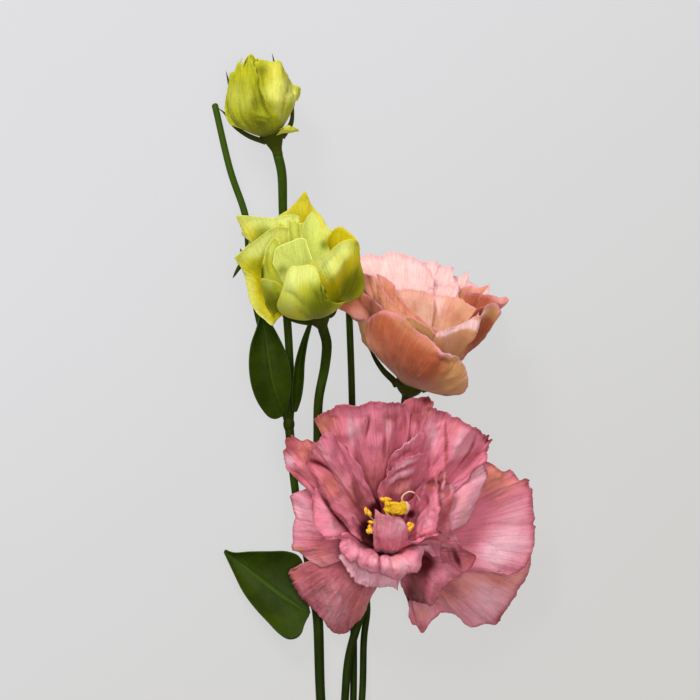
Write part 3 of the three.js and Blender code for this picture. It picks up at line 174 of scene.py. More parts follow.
        (-5, -9, -5, -12, -6.5, -14.5, 0.6, -0.7), (6, -13, 6, -16.5, 5.5, -19, 0.6, -0.7),
        (-1.5, -12, -2.5, -15, -3, -17, 0.6, -0.7), (10, -11, 10.5, -14, 11, -17, 0.7, -0.7),
        (-8.5, -8, -8, -10.5, -9, -12, 0.6, -0.6), (3.8, -12, 3.6, -15, 3.6, -17.5, 0.8, 0.6)],
        warm_dabs=[(7, -15, 4, 0.4)], pale_dabs=[(-6, -10, 3, 0.25), (0, -13, 3, 0.3), (9, -14.5, 3, 0.4),
        (5, -14, 3, 0.3), (15.5, -9, 2.5, 0.4)], deep_streaks=[(1.5, -10.9, 1.6, -14, 1.4, -17.5, 0.4, 1.3)],
        deep_dabs=[(17, -8.4, 2, 0.5)], dark_streaks=[(1.5, -11, 1.6, -14, 1.4, -17, 0.25, 0.35)],
        dark_dabs=[(19, -9, 3, 0.5)]),
    lip_back=Petal([(9.5, -18, 24), (7.2, -22.6, 24), (5.5, -21.7, 25), (2, -22.3, 25), (-2, -21.8, 26),
        (-5.5, -20.5, 26), (-8, -17.5, 27), (-11.5, -12, 27)], (-60, -160), 1.08, bow=arch(0, 1, 5),
        pale=0.65, deep=0.15, pleats=[(-7, -13, -6, -16, -5.5, -20, 0.5, -0.6),
        (0, -16, 1, -19, 1, -22, 0.5, -0.6), (-3, -15, -2.5, -18, -2, -21, 0.6, 0.5)]),
    middle_small=Petal([(10.2, -6, 29.5), (10, -3, 31.5), (9.2, -0.9, 32.8), (6.6, 0.3, 33.4),
        (3.6, 1, 33), (0.2, 2.3, 32), (-0.3, -2.5, 31), (0.6, -7, 29.5)], (-45, -135), 0.85, reach=0.5,
        tube=10, bow=arch(0, -4, 2),
        warm=0.2, pale=0.3, lit=0.12, pleats=[(3.2, -0.5, 2.8, -4, 3, -7.5, 0.4, -0.5),
        (6.8, -0.5, 6.4, -4, 5.8, -7.5, 0.4, -0.4)], warm_dabs=[(1.5, -1, 1.5, 0.5)],
        pale_dabs=[(8.5, -2.5, 1.5, 0.4)], deep_dabs=[(6, -7, 2, 0.3)]),
    middle_right=Petal([(11, 4, 32), (13.5, 8, 34), (15.5, 11.2, 36), (17, 10.4, 36.5), (18.5, 11, 36.5),
        (18.6, 8, 37), (20.5, 3, 37), (20.2, -1.8, 37), (20.4, -4.8, 37), (17, -5.7, 36), (13.7, -7.1, 35),
        (9.6, -6, 33)], (45, -55), 0.85, folds=[(0.35, 0.1, -1.2), (0.65, 0.1, 1)],
        teeth=[(17.5, 11, 2.5, 0.6), (20.5, -3.5, 3, 0.6)], pleats=[(16, 9, 15.2, 3, 14, -3, 0.7, -0.9),
        (18.5, 7, 17.8, 2, 17, -4, 0.7, 0.8)], warm_dabs=[(17.2, 10, 2, 0.7)], pale_dabs=[(13, 0, 3, 0.15),
        (16, -2, 3, 0.2), (15.5, 5, 3, 0.15)], deep_dabs=[(12, -5, 2, 0.3)],
        dark_dabs=[(17.5, 10.7, 1.6, 0.35), (20.5, -4.4, 1.2, 0.4)]),
    cave=Petal([(17, 10.5, 31), (18.6, 12.2, 31.5), (20, 10.8, 32), (21.4, 13.8, 32), (22.4, 11.8, 32),
        (24.4, 9, 31.5), (23.4, 5.5, 31), (22.6, 1.5, 30.5), (23.4, -3, 29.8), (22.9, -7, 29)], (40, -35),
        0.97,
        warm=0.4, deep=0.3, teeth=[(19.5, 12, 3, 0.5), (22.5, 11, 2.5, 0.4)],
        pleats=[(21.4, 13, 21, 8, 20.5, 3, 0.7, 1.4), (22.6, 11, 22.3, 5, 21.5, 0, 0.6, -1.1),
        (19.6, 11, 19.8, 6, 19.5, 2, 0.5, -1.0)], pale_dabs=[(23.8, 9.5, 1.6, 0.7), (21.4, 13, 1.2, 0.5)],
        deep_dabs=[(21, 0, 2.2, 0.6)], dark_dabs=[(20.3, 7, 2, 0.2), (21.5, -5, 2, 0.3)]),
    inner_a=Petal([(3.6, 14.5, 30.5), (5.2, 18.6, 32.8), (7.8, 21.8, 34), (10.8, 24.3, 35),
        (13.8, 26.4, 33.5), (16.5, 24.6, 29.5), (17, 20, 27)], (88, 45), 0.95, folds=[(0.55, 0.2, 1)],
        roll=0.2, fades=0.94, pleats=[(4.5, 16, 9, 19.5, 14, 21.5, 0.7, -0.8)],
        pale_streaks=[(5.6, 19.6, 9.3, 23.1, 13.5, 26.2, 0.45, 0.9)],
        deep_streaks=[(6, 17.6, 10, 20.6, 14.5, 22.6, 0.6, 0.7)], deep_dabs=[(6, 16, 3, 0.3)]),
    inner_b=Petal([(0.6, 8, 28), (3, 12, 31.4), (6, 16.2, 33.8), (9.5, 18.6, 35), (13.8, 20.4, 33.5),
        (16.3, 18, 29), (16, 12.5, 27)], (102, 30), 0.86, folds=[(0.5, 0.2, 1)],
        roll=0.2, fades=0.94, pleats=[(4.2, 12, 8.5, 15.5, 13.5, 17.4, 0.6, -0.8),
        (4, 10, 8, 13.4, 12, 15.4, 0.6, 0.8), (5, 8, 8.5, 11.5, 13, 13.2, 0.7, -0.8),
        (6.5, 6, 9.5, 9, 13.5, 10.2, 0.7, 0.6)], warm_dabs=[(9, 9, 4, 0.6)],
        pale_streaks=[(5.6, 14.7, 9.3, 17.3, 14, 19.1, 0.5, 1.0), (3.3, 9.6, 7, 13.8, 12.1, 15.7, 0.5, 0.9),
        (6, 7, 9, 10.4, 13, 12, 0.5, 0.5)], deep_streaks=[(4.6, 12.2, 8.2, 15.6, 13, 17.4, 0.5, 0.8),
        (4.4, 9.2, 7.6, 12.1, 11.6, 13.2, 0.6, 0.9)], deep_dabs=[(4, 7, 3, 0.5)]),
    upper_left=Petal([(-6, -6, 32), (-11, 0, 34), (-15, 5.5, 35), (-18, 11, 34), (-19.6, 17.5, 33),
        (-19.4, 21.5, 33), (-17.6, 24.2, 34.5), (-15, 26.2, 35.5), (-12.2, 25, 34.5), (-9, 22.5, 31.5),
        (-5.5, 17, 27)], (215, 105), 0.92, folds=[(0.4, 0.06, -1.6), (0.3, 0.05, 1.4), (0.62, 0.07, 1.6),
        (0.78, 0.05, -1.5)],
        pleats=[(-8.6, 14, -7, 6, -5.4, -2, 0.8, 1.3), (-19.5, 18, -16, 16, -12.8, 14.2, 0.6, -1.6),
        (-12, 22, -11, 17, -9, 10, 0.8, -0.9), (-16.5, 11, -12.5, 4, -9, -2, 0.8, -0.8),
        (-15.5, 22, -14, 18.5, -12, 16, 0.7, 0.8), (-18, 22.5, -16, 20.5, -14, 20, 0.6, -0.7)],
        warm_dabs=[(-18, 19, 4, 0.4), (-14.5, 12, 4, 0.4), (-12.5, 8, 5, 0.4), (-6, 5, 4, 0.6)],
        pale_streaks=[(-11, 14, -9.5, 6, -7, -2, 1.4, 0.4)], pale_dabs=[(-17, 20.5, 3, 0.25)],
        deep_streaks=[(-7, 14, -5.8, 6, -4.5, -1, 1.8, 0.7)], deep_dabs=[(-6, 5, 4, 0.5),
        (-14.5, 16.5, 2.5, 0.4)], dark_streaks=[(-19.3, 18.4, -15.5, 15.7, -12.8, 13.8, 0.5, 1.1),
        (-17.7, 10.5, -13.5, 3.1, -7.4, -3.9, 0.7, 1.0)]),
    far_left=Petal([(-20, 8.5, 24), (-24, 11.5, 24), (-27.8, 15.3, 25), (-28.8, 18, 26), (-28, 21, 27),
        (-27.6, 23.8, 27), (-25.6, 25.4, 26), (-23.3, 23.7, 26), (-20, 23.7, 27), (-16, 22.5, 28)],
        (185, 130), 1.08, bow=arch(0, 0, 2),
        warm=0.35, deep=0.35, teeth=[(-24.5, 24.5, 3, 0.5)],
        pleats=[(-26.5, 24, -24.5, 20, -22, 17, 0.6, -0.9), (-28, 16.5, -25, 17, -22, 14, 0.6, 0.8)],
        warm_dabs=[(-27.5, 17.5, 2.5, -0.6), (-22, 20, 3, 0.6)], pale_dabs=[(-27.5, 17.5, 2.5, 1.1),
        (-26.3, 22.5, 2, 0.4)], deep_dabs=[(-26.3, 22.5, 2.5, 0.9), (-24.5, 12.5, 2, 0.6)]),
    left=Petal([(-17, -16, 18), (-21.5, -13, 16), (-23.5, -11.3, 15), (-26, -10.5, 15), (-25.8, -7, 16),
        (-25.7, -3, 17), (-25, -0.5, 18), (-26, 3.5, 18), (-26.3, 6.5, 19), (-23.5, 8, 20), (-18, 10, 22)],
        (220, 150), 1.18, bow=arch(0, 0, 4),
        warm=0.15, pale=0.35, ruffled=0.4, pleats=[(-25, -1, -21, -1.5, -17, -4, 0.8, -0.4),
        (-23, 5, -20, 1, -18, -5, 1.0, 0.6)], warm_dabs=[(-17, -12.5, 4, 0.5), (-24, -10.5, 1.8, 1.1)],
        pale_dabs=[(-16.5, -9, 4.5, -0.6), (-22.9, -9, 3, -0.2), (-24.5, 2, 2.5, 0.3)],
        deep_dabs=[(-16.5, -9, 4.5, 0.75)]),
    lower_left=Petal([(1, -20, 15), (-0.5, -25, 11), (-3.5, -31, 8.5), (-5.5, -33.3, 7), (-8, -36, 4),
        (-11, -37.2, 0.1), (-14, -35.7, 4), (-17, -32, 7), (-20, -28.5, 8), (-23.5, -25, 9), (-26, -21, 10),
        (-26.7, -16.5, 11), (-23, -16, 13), (-18, -12, 16)], (-95, -175), 1.28, bow=arch(0, 0, 5),
        warm=0.3, deep=0.5, ruffled=0.5, teeth=[(-25, -19, 5, 0.5), (-22, -26, 6, 0.4)],
        pleats=[(-18, -16, -14, -24, -13, -33, 0.5, 0.5), (-12, -17, -10, -26, -9, -34, 0.6, -0.4),
        (-20, -20, -19, -25, -17.5, -30, 0.6, -0.4)], warm_dabs=[(-25.5, -18, 3, 0.4), (-5, -28, 5, 0.4)],
        pale_streaks=[(-18, -18, -15, -26, -14, -33, 0.5, 0.5), (-14, -18, -11, -26, -8, -32, 0.5, 0.5)],
        pale_dabs=[(-11, -32, 5, 0.4), (-12, -24, 7, 0.35), (-14.7, -31.5, 4, 0.3)],
        deep_dabs=[(-20, -19.5, 5, 0.4), (-24, -21, 4, -0.3), (-10.5, -36, 2.5, 0.3), (-11, -12, 4, 0.3)]),
    left_fold=Petal([(-8.5, -5, 31), (-12.8, -5.5, 32), (-15, -6.3, 32), (-17, -4.8, 32), (-19, -1, 31),
        (-19.5, 4, 30), (-18.5, 10, 29)], (215, 155), bow=arch(0, 0, 3),
        pleats=[(-18, 8, -15, 2, -12.5, -4, 0.8, 0.7)], warm_dabs=[(-16, 5, 4, 0.15)],
        pale_dabs=[(-13, -3.5, 3, 0.4), (-17, 2, 3, 0.3)],
        dark_streaks=[(-17.7, 9.5, -13.8, 2.2, -8, -4, 0.8, 1.2)])
))

# The deep dabs on the salmon front are partly its own coral-brown and partly painted shade on its upper left;
# the deep and dark streaks on right paint shade along its crease. The pale streaks on front and right are
# painted highlights along their folds, and lit on the inner petals is a painted glow that lifts their shade.
SALMON = Flower(seat=(11, 41.5, 15), axis=(0.22, 0.88, 0.42), throat=2.3, mouth=9, tube=14, petals=dict(
    front=Petal([(-1.6, 57, 21), (-2.8, 60, 24), (-1.5, 62.4, 27), (3.3, 64, 32), (6.8, 62.9, 35),
        (9.7, 61, 37.5), (12.5, 57.8, 39.5), (17, 55, 41), (20.6, 51.6, 41.5), (24, 50.3, 41),
        (26.6, 48.6, 39.5), (28.6, 43.5, 37), (28.9, 40.4, 34.5), (27.6, 38.7, 32), (22.5, 38.4, 29),
        (17.5, 38.8, 24)], (195, 340), 1.2, tube=(9, 9, 8, 4, 1), bow=[(-3, -4, 0), (-4, -5, 3), (-1, -3, 5),
        (1, -2.5, 5), (0, -0.5, 5)], swell=2,
        warm=0.2, pleats=[(18.8, 52.2, 21.5, 50.6, 25, 50.2, 0.6, 1.3),
        (17.5, 50.5, 21, 48.8, 25, 48, 0.7, -0.9), (4, 57, 8, 52, 15, 45, 1.3, -0.5),
        (6, 62, 12, 57, 18, 53.5, 0.8, -0.7), (16, 43, 21, 44, 27, 44.5, 0.7, 0.35),
        (15, 41, 21, 41.5, 27, 41.5, 0.6, -0.3)], warm_streaks=[(20, 49, 23.5, 46, 26, 43, 2.0, 0.6)],
        warm_dabs=[(9, 58, 4, 0.8), (18, 49, 5, 0.5), (24, 43, 5, 1.0), (26, 49.5, 2.5, 0.5)],
        pale_streaks=[(19.5, 51.5, 22, 50, 25.6, 50.6, 0.7, 1.0)], pale_dabs=[(27, 41, 4, 0.2)],
        deep_dabs=[(8, 52, 7, 1.2), (14, 46, 6, 0.9), (0, 60.5, 4, 1.1), (3, 58, 5, 0.7), (19, 47, 5, 0.5),
        (22, 53, 3, 0.4)]),
    left_under=Petal([(-1.3, 53, 16), (-3, 55.5, 17), (-4.8, 58, 18.5), (-5.7, 60.3, 20),
        (-3.5, 61.7, 24)], (185, 225), 1.15, bow=[(-6, -5, -1), (-4, -4, 0), (-3, -3, 0)],
        warm=1.0, deep=0.3),
    far_left=Petal([(-5.5, 60.3, 14), (-9, 63.3, 13), (-12, 65.2, 13), (-12.5, 69, 12), (-10, 73, 11),
        (-5, 76.5, 11)], (175, 140), 1.1,
        pale=0.2, deep=0.7, pale_dabs=[(-5, 62, 3, 0.8)]),
    coral=Petal([(-8, 74, 14), (-5, 70.3, 18), (-1, 67.8, 23), (1.6, 65.5, 27), (3, 63.5, 30)],
        (165, 235), 1.05, bow=arch(-2, -2, 0),
        deep=0.8, pale_dabs=[(-5, 72, 4, 0.3)]),
    left_outer=Petal([(-6, 76.3, 12), (-2.5, 75.2, 15), (-0.3, 74.7, 18), (1.2, 72.2, 21),
        (3.2, 69.2, 24), (5.5, 66.3, 27), (8.3, 63.4, 30), (12, 60.5, 33), (17.5, 57, 36)], (160, 280),
        bow=arch(-2, -2, 1),
        deep=0.15, pleats=[(0, 72, 6, 65, 14, 59, 0.6, -0.5)], warm_dabs=[(4, 66, 3, 0.3)],
        pale_dabs=[(-3, 72, 4, 0.4)]),
    gold=Petal([(8, 61.5, 33), (11, 61.4, 35), (14, 60.2, 36.5), (16.5, 58.7, 37.5), (18.6, 56.8, 38)],
        (245, 285), 1.1,
        warm=1.4),
    left_inner=Petal([(0.3, 75.5, 15), (3.5, 74, 18), (5.2, 72.3, 20), (6.2, 69.8, 23), (8.2, 67, 26),
        (11, 64, 29), (15, 60.5, 32), (19, 57.8, 35)], (160, 285), 0.9, bow=arch(-1, -1, 1),
        deep=0.35, pleats=[(4, 71, 8, 66, 15, 60, 0.6, -0.4)], pale_dabs=[(2, 74, 3, 0.5)]),
    right=Petal([(17.8, 56.3, 37), (20, 57.4, 37.5), (23, 58.4, 38), (26, 59.4, 37.5), (29.4, 61.2, 37),
        (31.2, 63, 36.5), (33.5, 64.2, 34.5), (36.3, 65.4, 31), (38, 65.8, 29), (39.2, 63.4, 27),
        (38.2, 60.8, 24.5), (36, 58, 23)], (290, 375), 1.1, tube=(14, 14, 6), bow=[(1, -2, 2), (1, -3, 5),
        (1.5, -3, 1)], folds=[(0.48, 0.07, 2.6), (0.64, 0.1, -1.6)],
        warm=0.6, lit=0.12, pleats=[(35.8, 63.6, 30.9, 59.3, 28.8, 55.5, 27, 51, 27, 47, 0.6, 1.3),
        (36.8, 62, 32.5, 57.5, 30, 52.5, 28, 48.5, 0.9, -1.0)],
        warm_streaks=[(30.5, 60.5, 34, 62.8, 37.5, 64.3, 1.3, 1.3)], warm_dabs=[(26, 52, 3, 0.3)],
        pale_streaks=[(18, 56.3, 23, 57.9, 28.5, 59.7, 32, 61.4, 35.5, 63.6, 0.9, 2.2)],
        pale_dabs=[(23, 55.5, 4, 0.3)],
        deep_streaks=[(36.6, 61.5, 33, 57, 30.5, 52.5, 28, 48, 27, 45, 2.4, 1.6)],
        dark_streaks=[(37, 61.5, 33.5, 57, 31, 53, 28.5, 49, 1.6, 0.5)]),
    back=Petal([(-8, 78.5, 7), (-4.5, 80.7, 7), (-1, 81.7, 8), (1, 81.1, 8), (4, 82.4, 8), (8, 82.1, 9),
        (12, 80.8, 9), (15, 79.3, 10), (17, 77, 11), (17.9, 74.5, 12), (18.2, 71, 14)], (160, 65),
        pale=1.15, scorched=0, teeth=[(5, 82, 9, 0.35), (17, 79, 3, 0.9)],
        pleats=[(-2, 80.5, 1, 75, 3, 70, 0.7, -0.4), (9, 81, 10, 76, 10, 71, 0.7, -0.4)],
        pale_dabs=[(0, 80, 4, 0.4)]),
    back_right=Petal([(14, 79, 7), (19, 79.6, 6), (20.2, 78.7, 6), (23.7, 78.3, 6), (24.4, 76, 7),
        (25.6, 73.5, 8), (25.8, 70, 10)], (90, 40), 1.1,
        pale=1.0, scorched=0, teeth=[(22, 78.5, 4, 0.8), (25.6, 74, 2.5, 0.5)],
        pleats=[(22.5, 77.5, 21.5, 74, 20, 70, 0.5, -0.5)]),
    far_right=Petal([(23.5, 75.5, 4), (27, 75, 4), (29, 76.8, 4), (29.4, 73.5, 5), (34.5, 71.6, 7),
        (35.3, 73, 8), (35.6, 70.5, 10)], (60, 20), 1.2,
        pale=0.8, scorched=0, teeth=[(28, 76, 4, 0.6), (34.5, 72, 3, 0.6)]),
    right_curl=Petal([(25, 67, 17), (26.6, 70.3, 16), (29, 71.8, 15), (32, 71.2, 15), (34.8, 71.8, 15),
        (33, 69, 18)], (50, 10), 1.05,
        warm=0.4, deep=0.2, pale_dabs=[(30, 71.5, 1.6, 0.6)]),
    right_cave=Petal([(28, 69.6, 20), (31, 69.6, 19), (34, 69.2, 18), (38, 68.5, 18), (41, 68.2, 19),
        (40.3, 66.8, 21), (37.5, 66.6, 24), (34, 65.4, 27), (31, 64.7, 29)], (30, -40), bow=arch(2, -1, 0),
        deep=0.6, scorched=0, teeth=[(40, 68, 3, 0.6)], pale_dabs=[(38, 68, 3, 1.0), (34, 69.5, 2.5, 0.6)],
        deep_dabs=[(32, 66.5, 3, 0.7), (35, 66, 2.5, 0.4)]),
    inner_left=Petal([(5, 70.3, 19), (9, 70.6, 18), (14, 70.4, 18), (17, 69.2, 18), (18.3, 66, 19)],
        (140, 60), 0.85,
        warm=0.6, pale=0.5, lit=0.25, pleats=[(11, 70, 12, 66, 14, 62, 0.5, -0.4)],
        warm_dabs=[(15.5, 62, 3, 0.8)], deep_dabs=[(11.5, 64.5, 2, 0.4)]),
    inner_right=Petal([(14, 67.5, 15.5), (17, 68.8, 16.8), (19.5, 68.8, 18.4), (22.5, 68.4, 19),
        (26, 67.9, 20), (28.5, 66.2, 23), (31.5, 64.3, 27), (31.5, 61.5, 31)], (105, -20), 0.88,
        warm=0.6, pale=0.3, lit=0.25, pleats=[(20.5, 68, 20, 64, 20, 60, 0.5, 0.6),
        (24, 67.5, 22.5, 63, 21.5, 59, 0.6, -0.5)], warm_dabs=[(17.5, 61, 2, 0.5), (29, 66, 2.5, 0.4)],
        pale_dabs=[(19, 67, 3.5, 0.5)], deep_dabs=[(26, 62, 4, 0.5)]),
    middle_band=Petal([(17, 71.2, 15), (20, 71.5, 14), (23, 72.3, 14), (25.4, 71.8, 15),
        (25.6, 68.5, 17)], (80, 50), 0.95,
        pale=1.0)
))

# Many pale dabs of the opening bud are painted highlights, on the front's top, on the right petal and on the
# inner ones; its deep and dark dabs and streaks are painted shade under the front's lip, in the hollow of
# front_left and in gaps. The large pale and lit of inner_front and inner_tall are painted light that lifts
# their shade, and hem paints the bright rolled rims.
OPENING = Flower(seat=(-17.7, 63, 20), axis=(-0.3, 0.85, 0.42), throat=2.1, mouth=11, tube=9, petals=dict(
    front=Petal([(-29.4, 70, 36), (-28.9, 72, 38), (-28.5, 75, 40), (-26.6, 77.4, 42), (-23.2, 77.8, 43),
        (-20, 78, 43.5), (-18.4, 75.8, 44.5), (-17, 72.8, 45), (-16, 69.2, 43.5), (-13.2, 67.2, 40),
        (-10.2, 66.8, 35)], (205, 345), 1.1, tube=6, bow=[(-2, -4, 3), (-1, -6, 5), (1, -5, 5), (1, -3, 3)],
        swell=2.5,
        pale=0.15, roll=1.2, tips=[(-16, 69.2)], pleats=[(-29, 70.5, -25, 69.5, -21, 67, 0.9, -0.9),
        (-19, 76, -17.6, 72, -16.3, 69.5, 1.0, 1.0), (-24, 66, -21, 64, -18, 61.5, 1.0, -0.7),
        (-27, 76, -24, 71, -21, 65, 1.2, 0.7)], warm_dabs=[(-25, 63, 3, 0.6)],
        pale_dabs=[(-25, 75.5, 3.5, 1.1), (-20, 76, 3, 0.8), (-27, 71, 2.5, 0.5), (-26.5, 66, 3, 0.4)],
        deep_streaks=[(-16.5, 70, -13, 67.5, -10, 67, 1.2, 1.0)], deep_dabs=[(-17.5, 71, 2.5, 0.6),
        (-15.5, 67.5, 2.5, 0.8), (-20, 66, 4, 0.45), (-17, 63.5, 3.5, 1.0)]),
    front_left=Petal([(-31, 62, 27), (-33.5, 66, 30), (-35, 70, 32), (-35.4, 73.8, 34), (-33, 73.4, 36),
        (-31, 73, 37), (-28.9, 71.4, 38), (-26, 69, 37)], (190, 255), 0.93, bow=[(-2, -3, 1), (-2, -3, 2),
        (-2, -3, 2)],
        pale=0.1, deep=0.6, pale_dabs=[(-33, 73, 2, 0.9)], dark_dabs=[(-33, 66, 3, 0.5)]),
    lower_left=Petal([(-29, 62.5, 25), (-31.8, 59.4, 25), (-34, 61, 25), (-36.2, 63.7, 25),
        (-37.2, 66.7, 25), (-38.2, 72, 25), (-39.5, 77.3, 25), (-41.2, 78.8, 24), (-43.6, 80.3, 24),
        (-40, 82.7, 25), (-37, 84.3, 26), (-33, 87.1, 27), (-30.5, 88.6, 28), (-27.5, 88.2, 29)], (230, 130),
        1.1, bow=arch(0, 0, -3),
        warm=0.7, roll=2.2, rim_highlight=0.7, tips=[(-43.6, 80.3), (-31.8, 59.4)], warm_dabs=[(-37, 72, 2.5, 0.6)],
        pale_dabs=[(-31.5, 84.5, 3, 0.9), (-37, 83.5, 3, 0.8)], deep_dabs=[(-37, 78, 3, 0.6),
        (-30.5, 60.5, 3, 0.3)], dark_dabs=[(-34, 70, 3, 0.4)]),
    upper_left=Petal([(-38.5, 80, 18), (-39.2, 84.5, 18), (-39.4, 88, 18), (-41.2, 91, 18),
        (-43.1, 93.4, 18), (-40, 93.2, 19), (-36, 92.4, 20), (-31, 92.3, 21), (-27, 93.1, 22),
        (-24, 92.6, 23)], (160, 110),
        warm=0.6, pale=0.2, roll=2.0, rim_highlight=0.7, tips=[(-43.1, 93.4)], warm_dabs=[(-40, 91, 3, 0.6)],
        pale_dabs=[(-34, 92.5, 2.5, 0.9), (-28, 92.5, 2.5, 0.9)], deep_dabs=[(-35, 88, 3.5, 0.8)]),
    top=Petal([(-33, 91, 15), (-30.5, 93.1, 15), (-27, 95.3, 15), (-24, 98.3, 15), (-21.7, 101.1, 15),
        (-20.3, 97.8, 15), (-18, 94.3, 15), (-16, 91, 16), (-13, 87.6, 17), (-10.8, 84.5, 18)], (130, 50),
        1.05,
        warm=0.9, roll=1.6, rim_highlight=0.2, tips=[(-21.7, 101.1)], warm_dabs=[(-23, 96, 3, 0.5)],
        pale_dabs=[(-28.5, 93, 2, 0.6), (-15, 88.5, 2, 0.7), (-18, 92, 2, 0.4)],
        deep_dabs=[(-25, 93.5, 3, 0.6)]),
    right=Petal([(-20.8, 77.5, 39), (-18, 79.4, 40), (-15.4, 81.2, 40.5), (-11, 84.2, 39.5),
        (-8, 86, 37.5), (-5.3, 85.2, 35), (-4.3, 81, 32), (-3.7, 76.5, 29), (-4, 73, 27), (-5.4, 70.2, 25),
        (-8, 68, 23), (-10.8, 66.7, 22)], (315, 385), 1.05, tube=(7, 7, 5, 1), bow=[(1, -1, 2), (1, -3, 4),
        (3, -5, 2), (1, -2, 2)], swell=2, folds=[(0.3, 0.06, -1), (0.2, 0.06, 1.2)],
        warm=0.35, roll=1.2, rim_highlight=0.2, tips=[(-5.5, 85.5)], pleats=[(-16, 70, -13.5, 76, -7.5, 82, 1.0, 1.2),
        (-18, 74, -14.5, 79, -9, 83.5, 1.2, -0.9), (-4.5, 80, -6.5, 76, -6, 72, 0.8, -0.6)],
        warm_dabs=[(-11, 75, 3, 1.0), (-14.5, 71.5, 2, 1.2), (-7, 80, 2.5, 0.6)],
        pale_dabs=[(-15, 78.5, 3.5, 1.0), (-10, 83, 2.5, 0.9)], deep_dabs=[(-5.5, 85, 1.0, 0.8),
        (-6, 74, 3.5, 0.9), (-8.5, 70, 3.5, 1.0)], dark_dabs=[(-12, 67.5, 3, 0.4)]),
    back_right=Petal([(-14.5, 86, 22), (-12.7, 89, 22), (-10.8, 90, 22), (-8.3, 88.5, 23),
        (-5.8, 86, 24), (-4.8, 83, 25)], (60, 20), 0.95,
        warm=0.9, deep_dabs=[(-10, 88, 3, 0.3)]),
    inner_front=Petal([(-31.4, 78.5, 31), (-30.8, 81.6, 31), (-30.3, 83.2, 31), (-27, 84.8, 31),
        (-23.5, 86.1, 31.5), (-22.2, 86, 32), (-21.4, 84, 32.5), (-19.5, 79, 35)], (165, 60), 0.7,
        pale=1.1, lit=0.9, fades=0.93, pleats=[(-30, 82, -27, 80.5, -25, 78, 0.8, -0.8),
        (-26, 86, -24, 82, -22, 79, 0.8, 0.6)], pale_dabs=[(-22, 80, 3, 0.7), (-25.5, 84, 3, 0.5)],
        deep_dabs=[(-29, 76.5, 2, 0.7)]),
    inner_tall=Petal([(-22, 82, 27), (-22.2, 88, 26), (-21.4, 91.5, 25), (-19.5, 94.3, 25),
        (-18, 92, 25), (-16.7, 88, 26), (-14.8, 84, 27), (-14, 80, 29)], (110, 50), 0.75,
        pale=0.9, lit=0.4, fades=0.94, pleats=[(-19.3, 93, -18.5, 87, -18, 81, 0.7, 0.9)],
        pale_dabs=[(-19.5, 90, 2, 0.5)], deep_dabs=[(-15.5, 84.5, 1.8, 0.9)]),
    crinkled=Petal([(-31, 87, 23), (-28.5, 91, 23), (-27, 90, 23), (-25.5, 92.4, 23), (-24, 91, 23),
        (-21.5, 91.3, 22)], (130, 100), 0.9,
        pale=0.6, frill=3.2, lit=0.4, scorched=0, teeth=[(-27, 90, 6, 1.2)],
        pleats=[(-29, 92, -28.5, 88, -28, 84, 0.5, -1.2), (-26, 92.5, -25.6, 88, -25, 84, 0.5, -1.2),
        (-23.4, 92, -23.4, 88, -23, 84, 0.5, -1.0), (-27.2, 91, -26.8, 88, -26.5, 85, 0.5, 1.0)]),
    inner_left=Petal([(-35, 73.5, 29), (-34.8, 78, 29), (-33.4, 83.7, 29), (-31, 86.3, 29),
        (-29.5, 83.5, 30)], (190, 150), 0.8,
        pale=0.3, frill=2.0, lit=0.25, pleats=[(-32.5, 84, -33, 79, -32, 75, 0.6, -0.9),
        (-34, 82, -34.2, 78, -33.6, 75, 0.6, 0.6)], pale_dabs=[(-32.5, 83, 2, 0.7)],
        dark_streaks=[(-35.2, 79, -35, 76, -34.4, 72, 0.7, 1.0)], dark_dabs=[(-34.5, 77, 2.5, 0.3)])
))

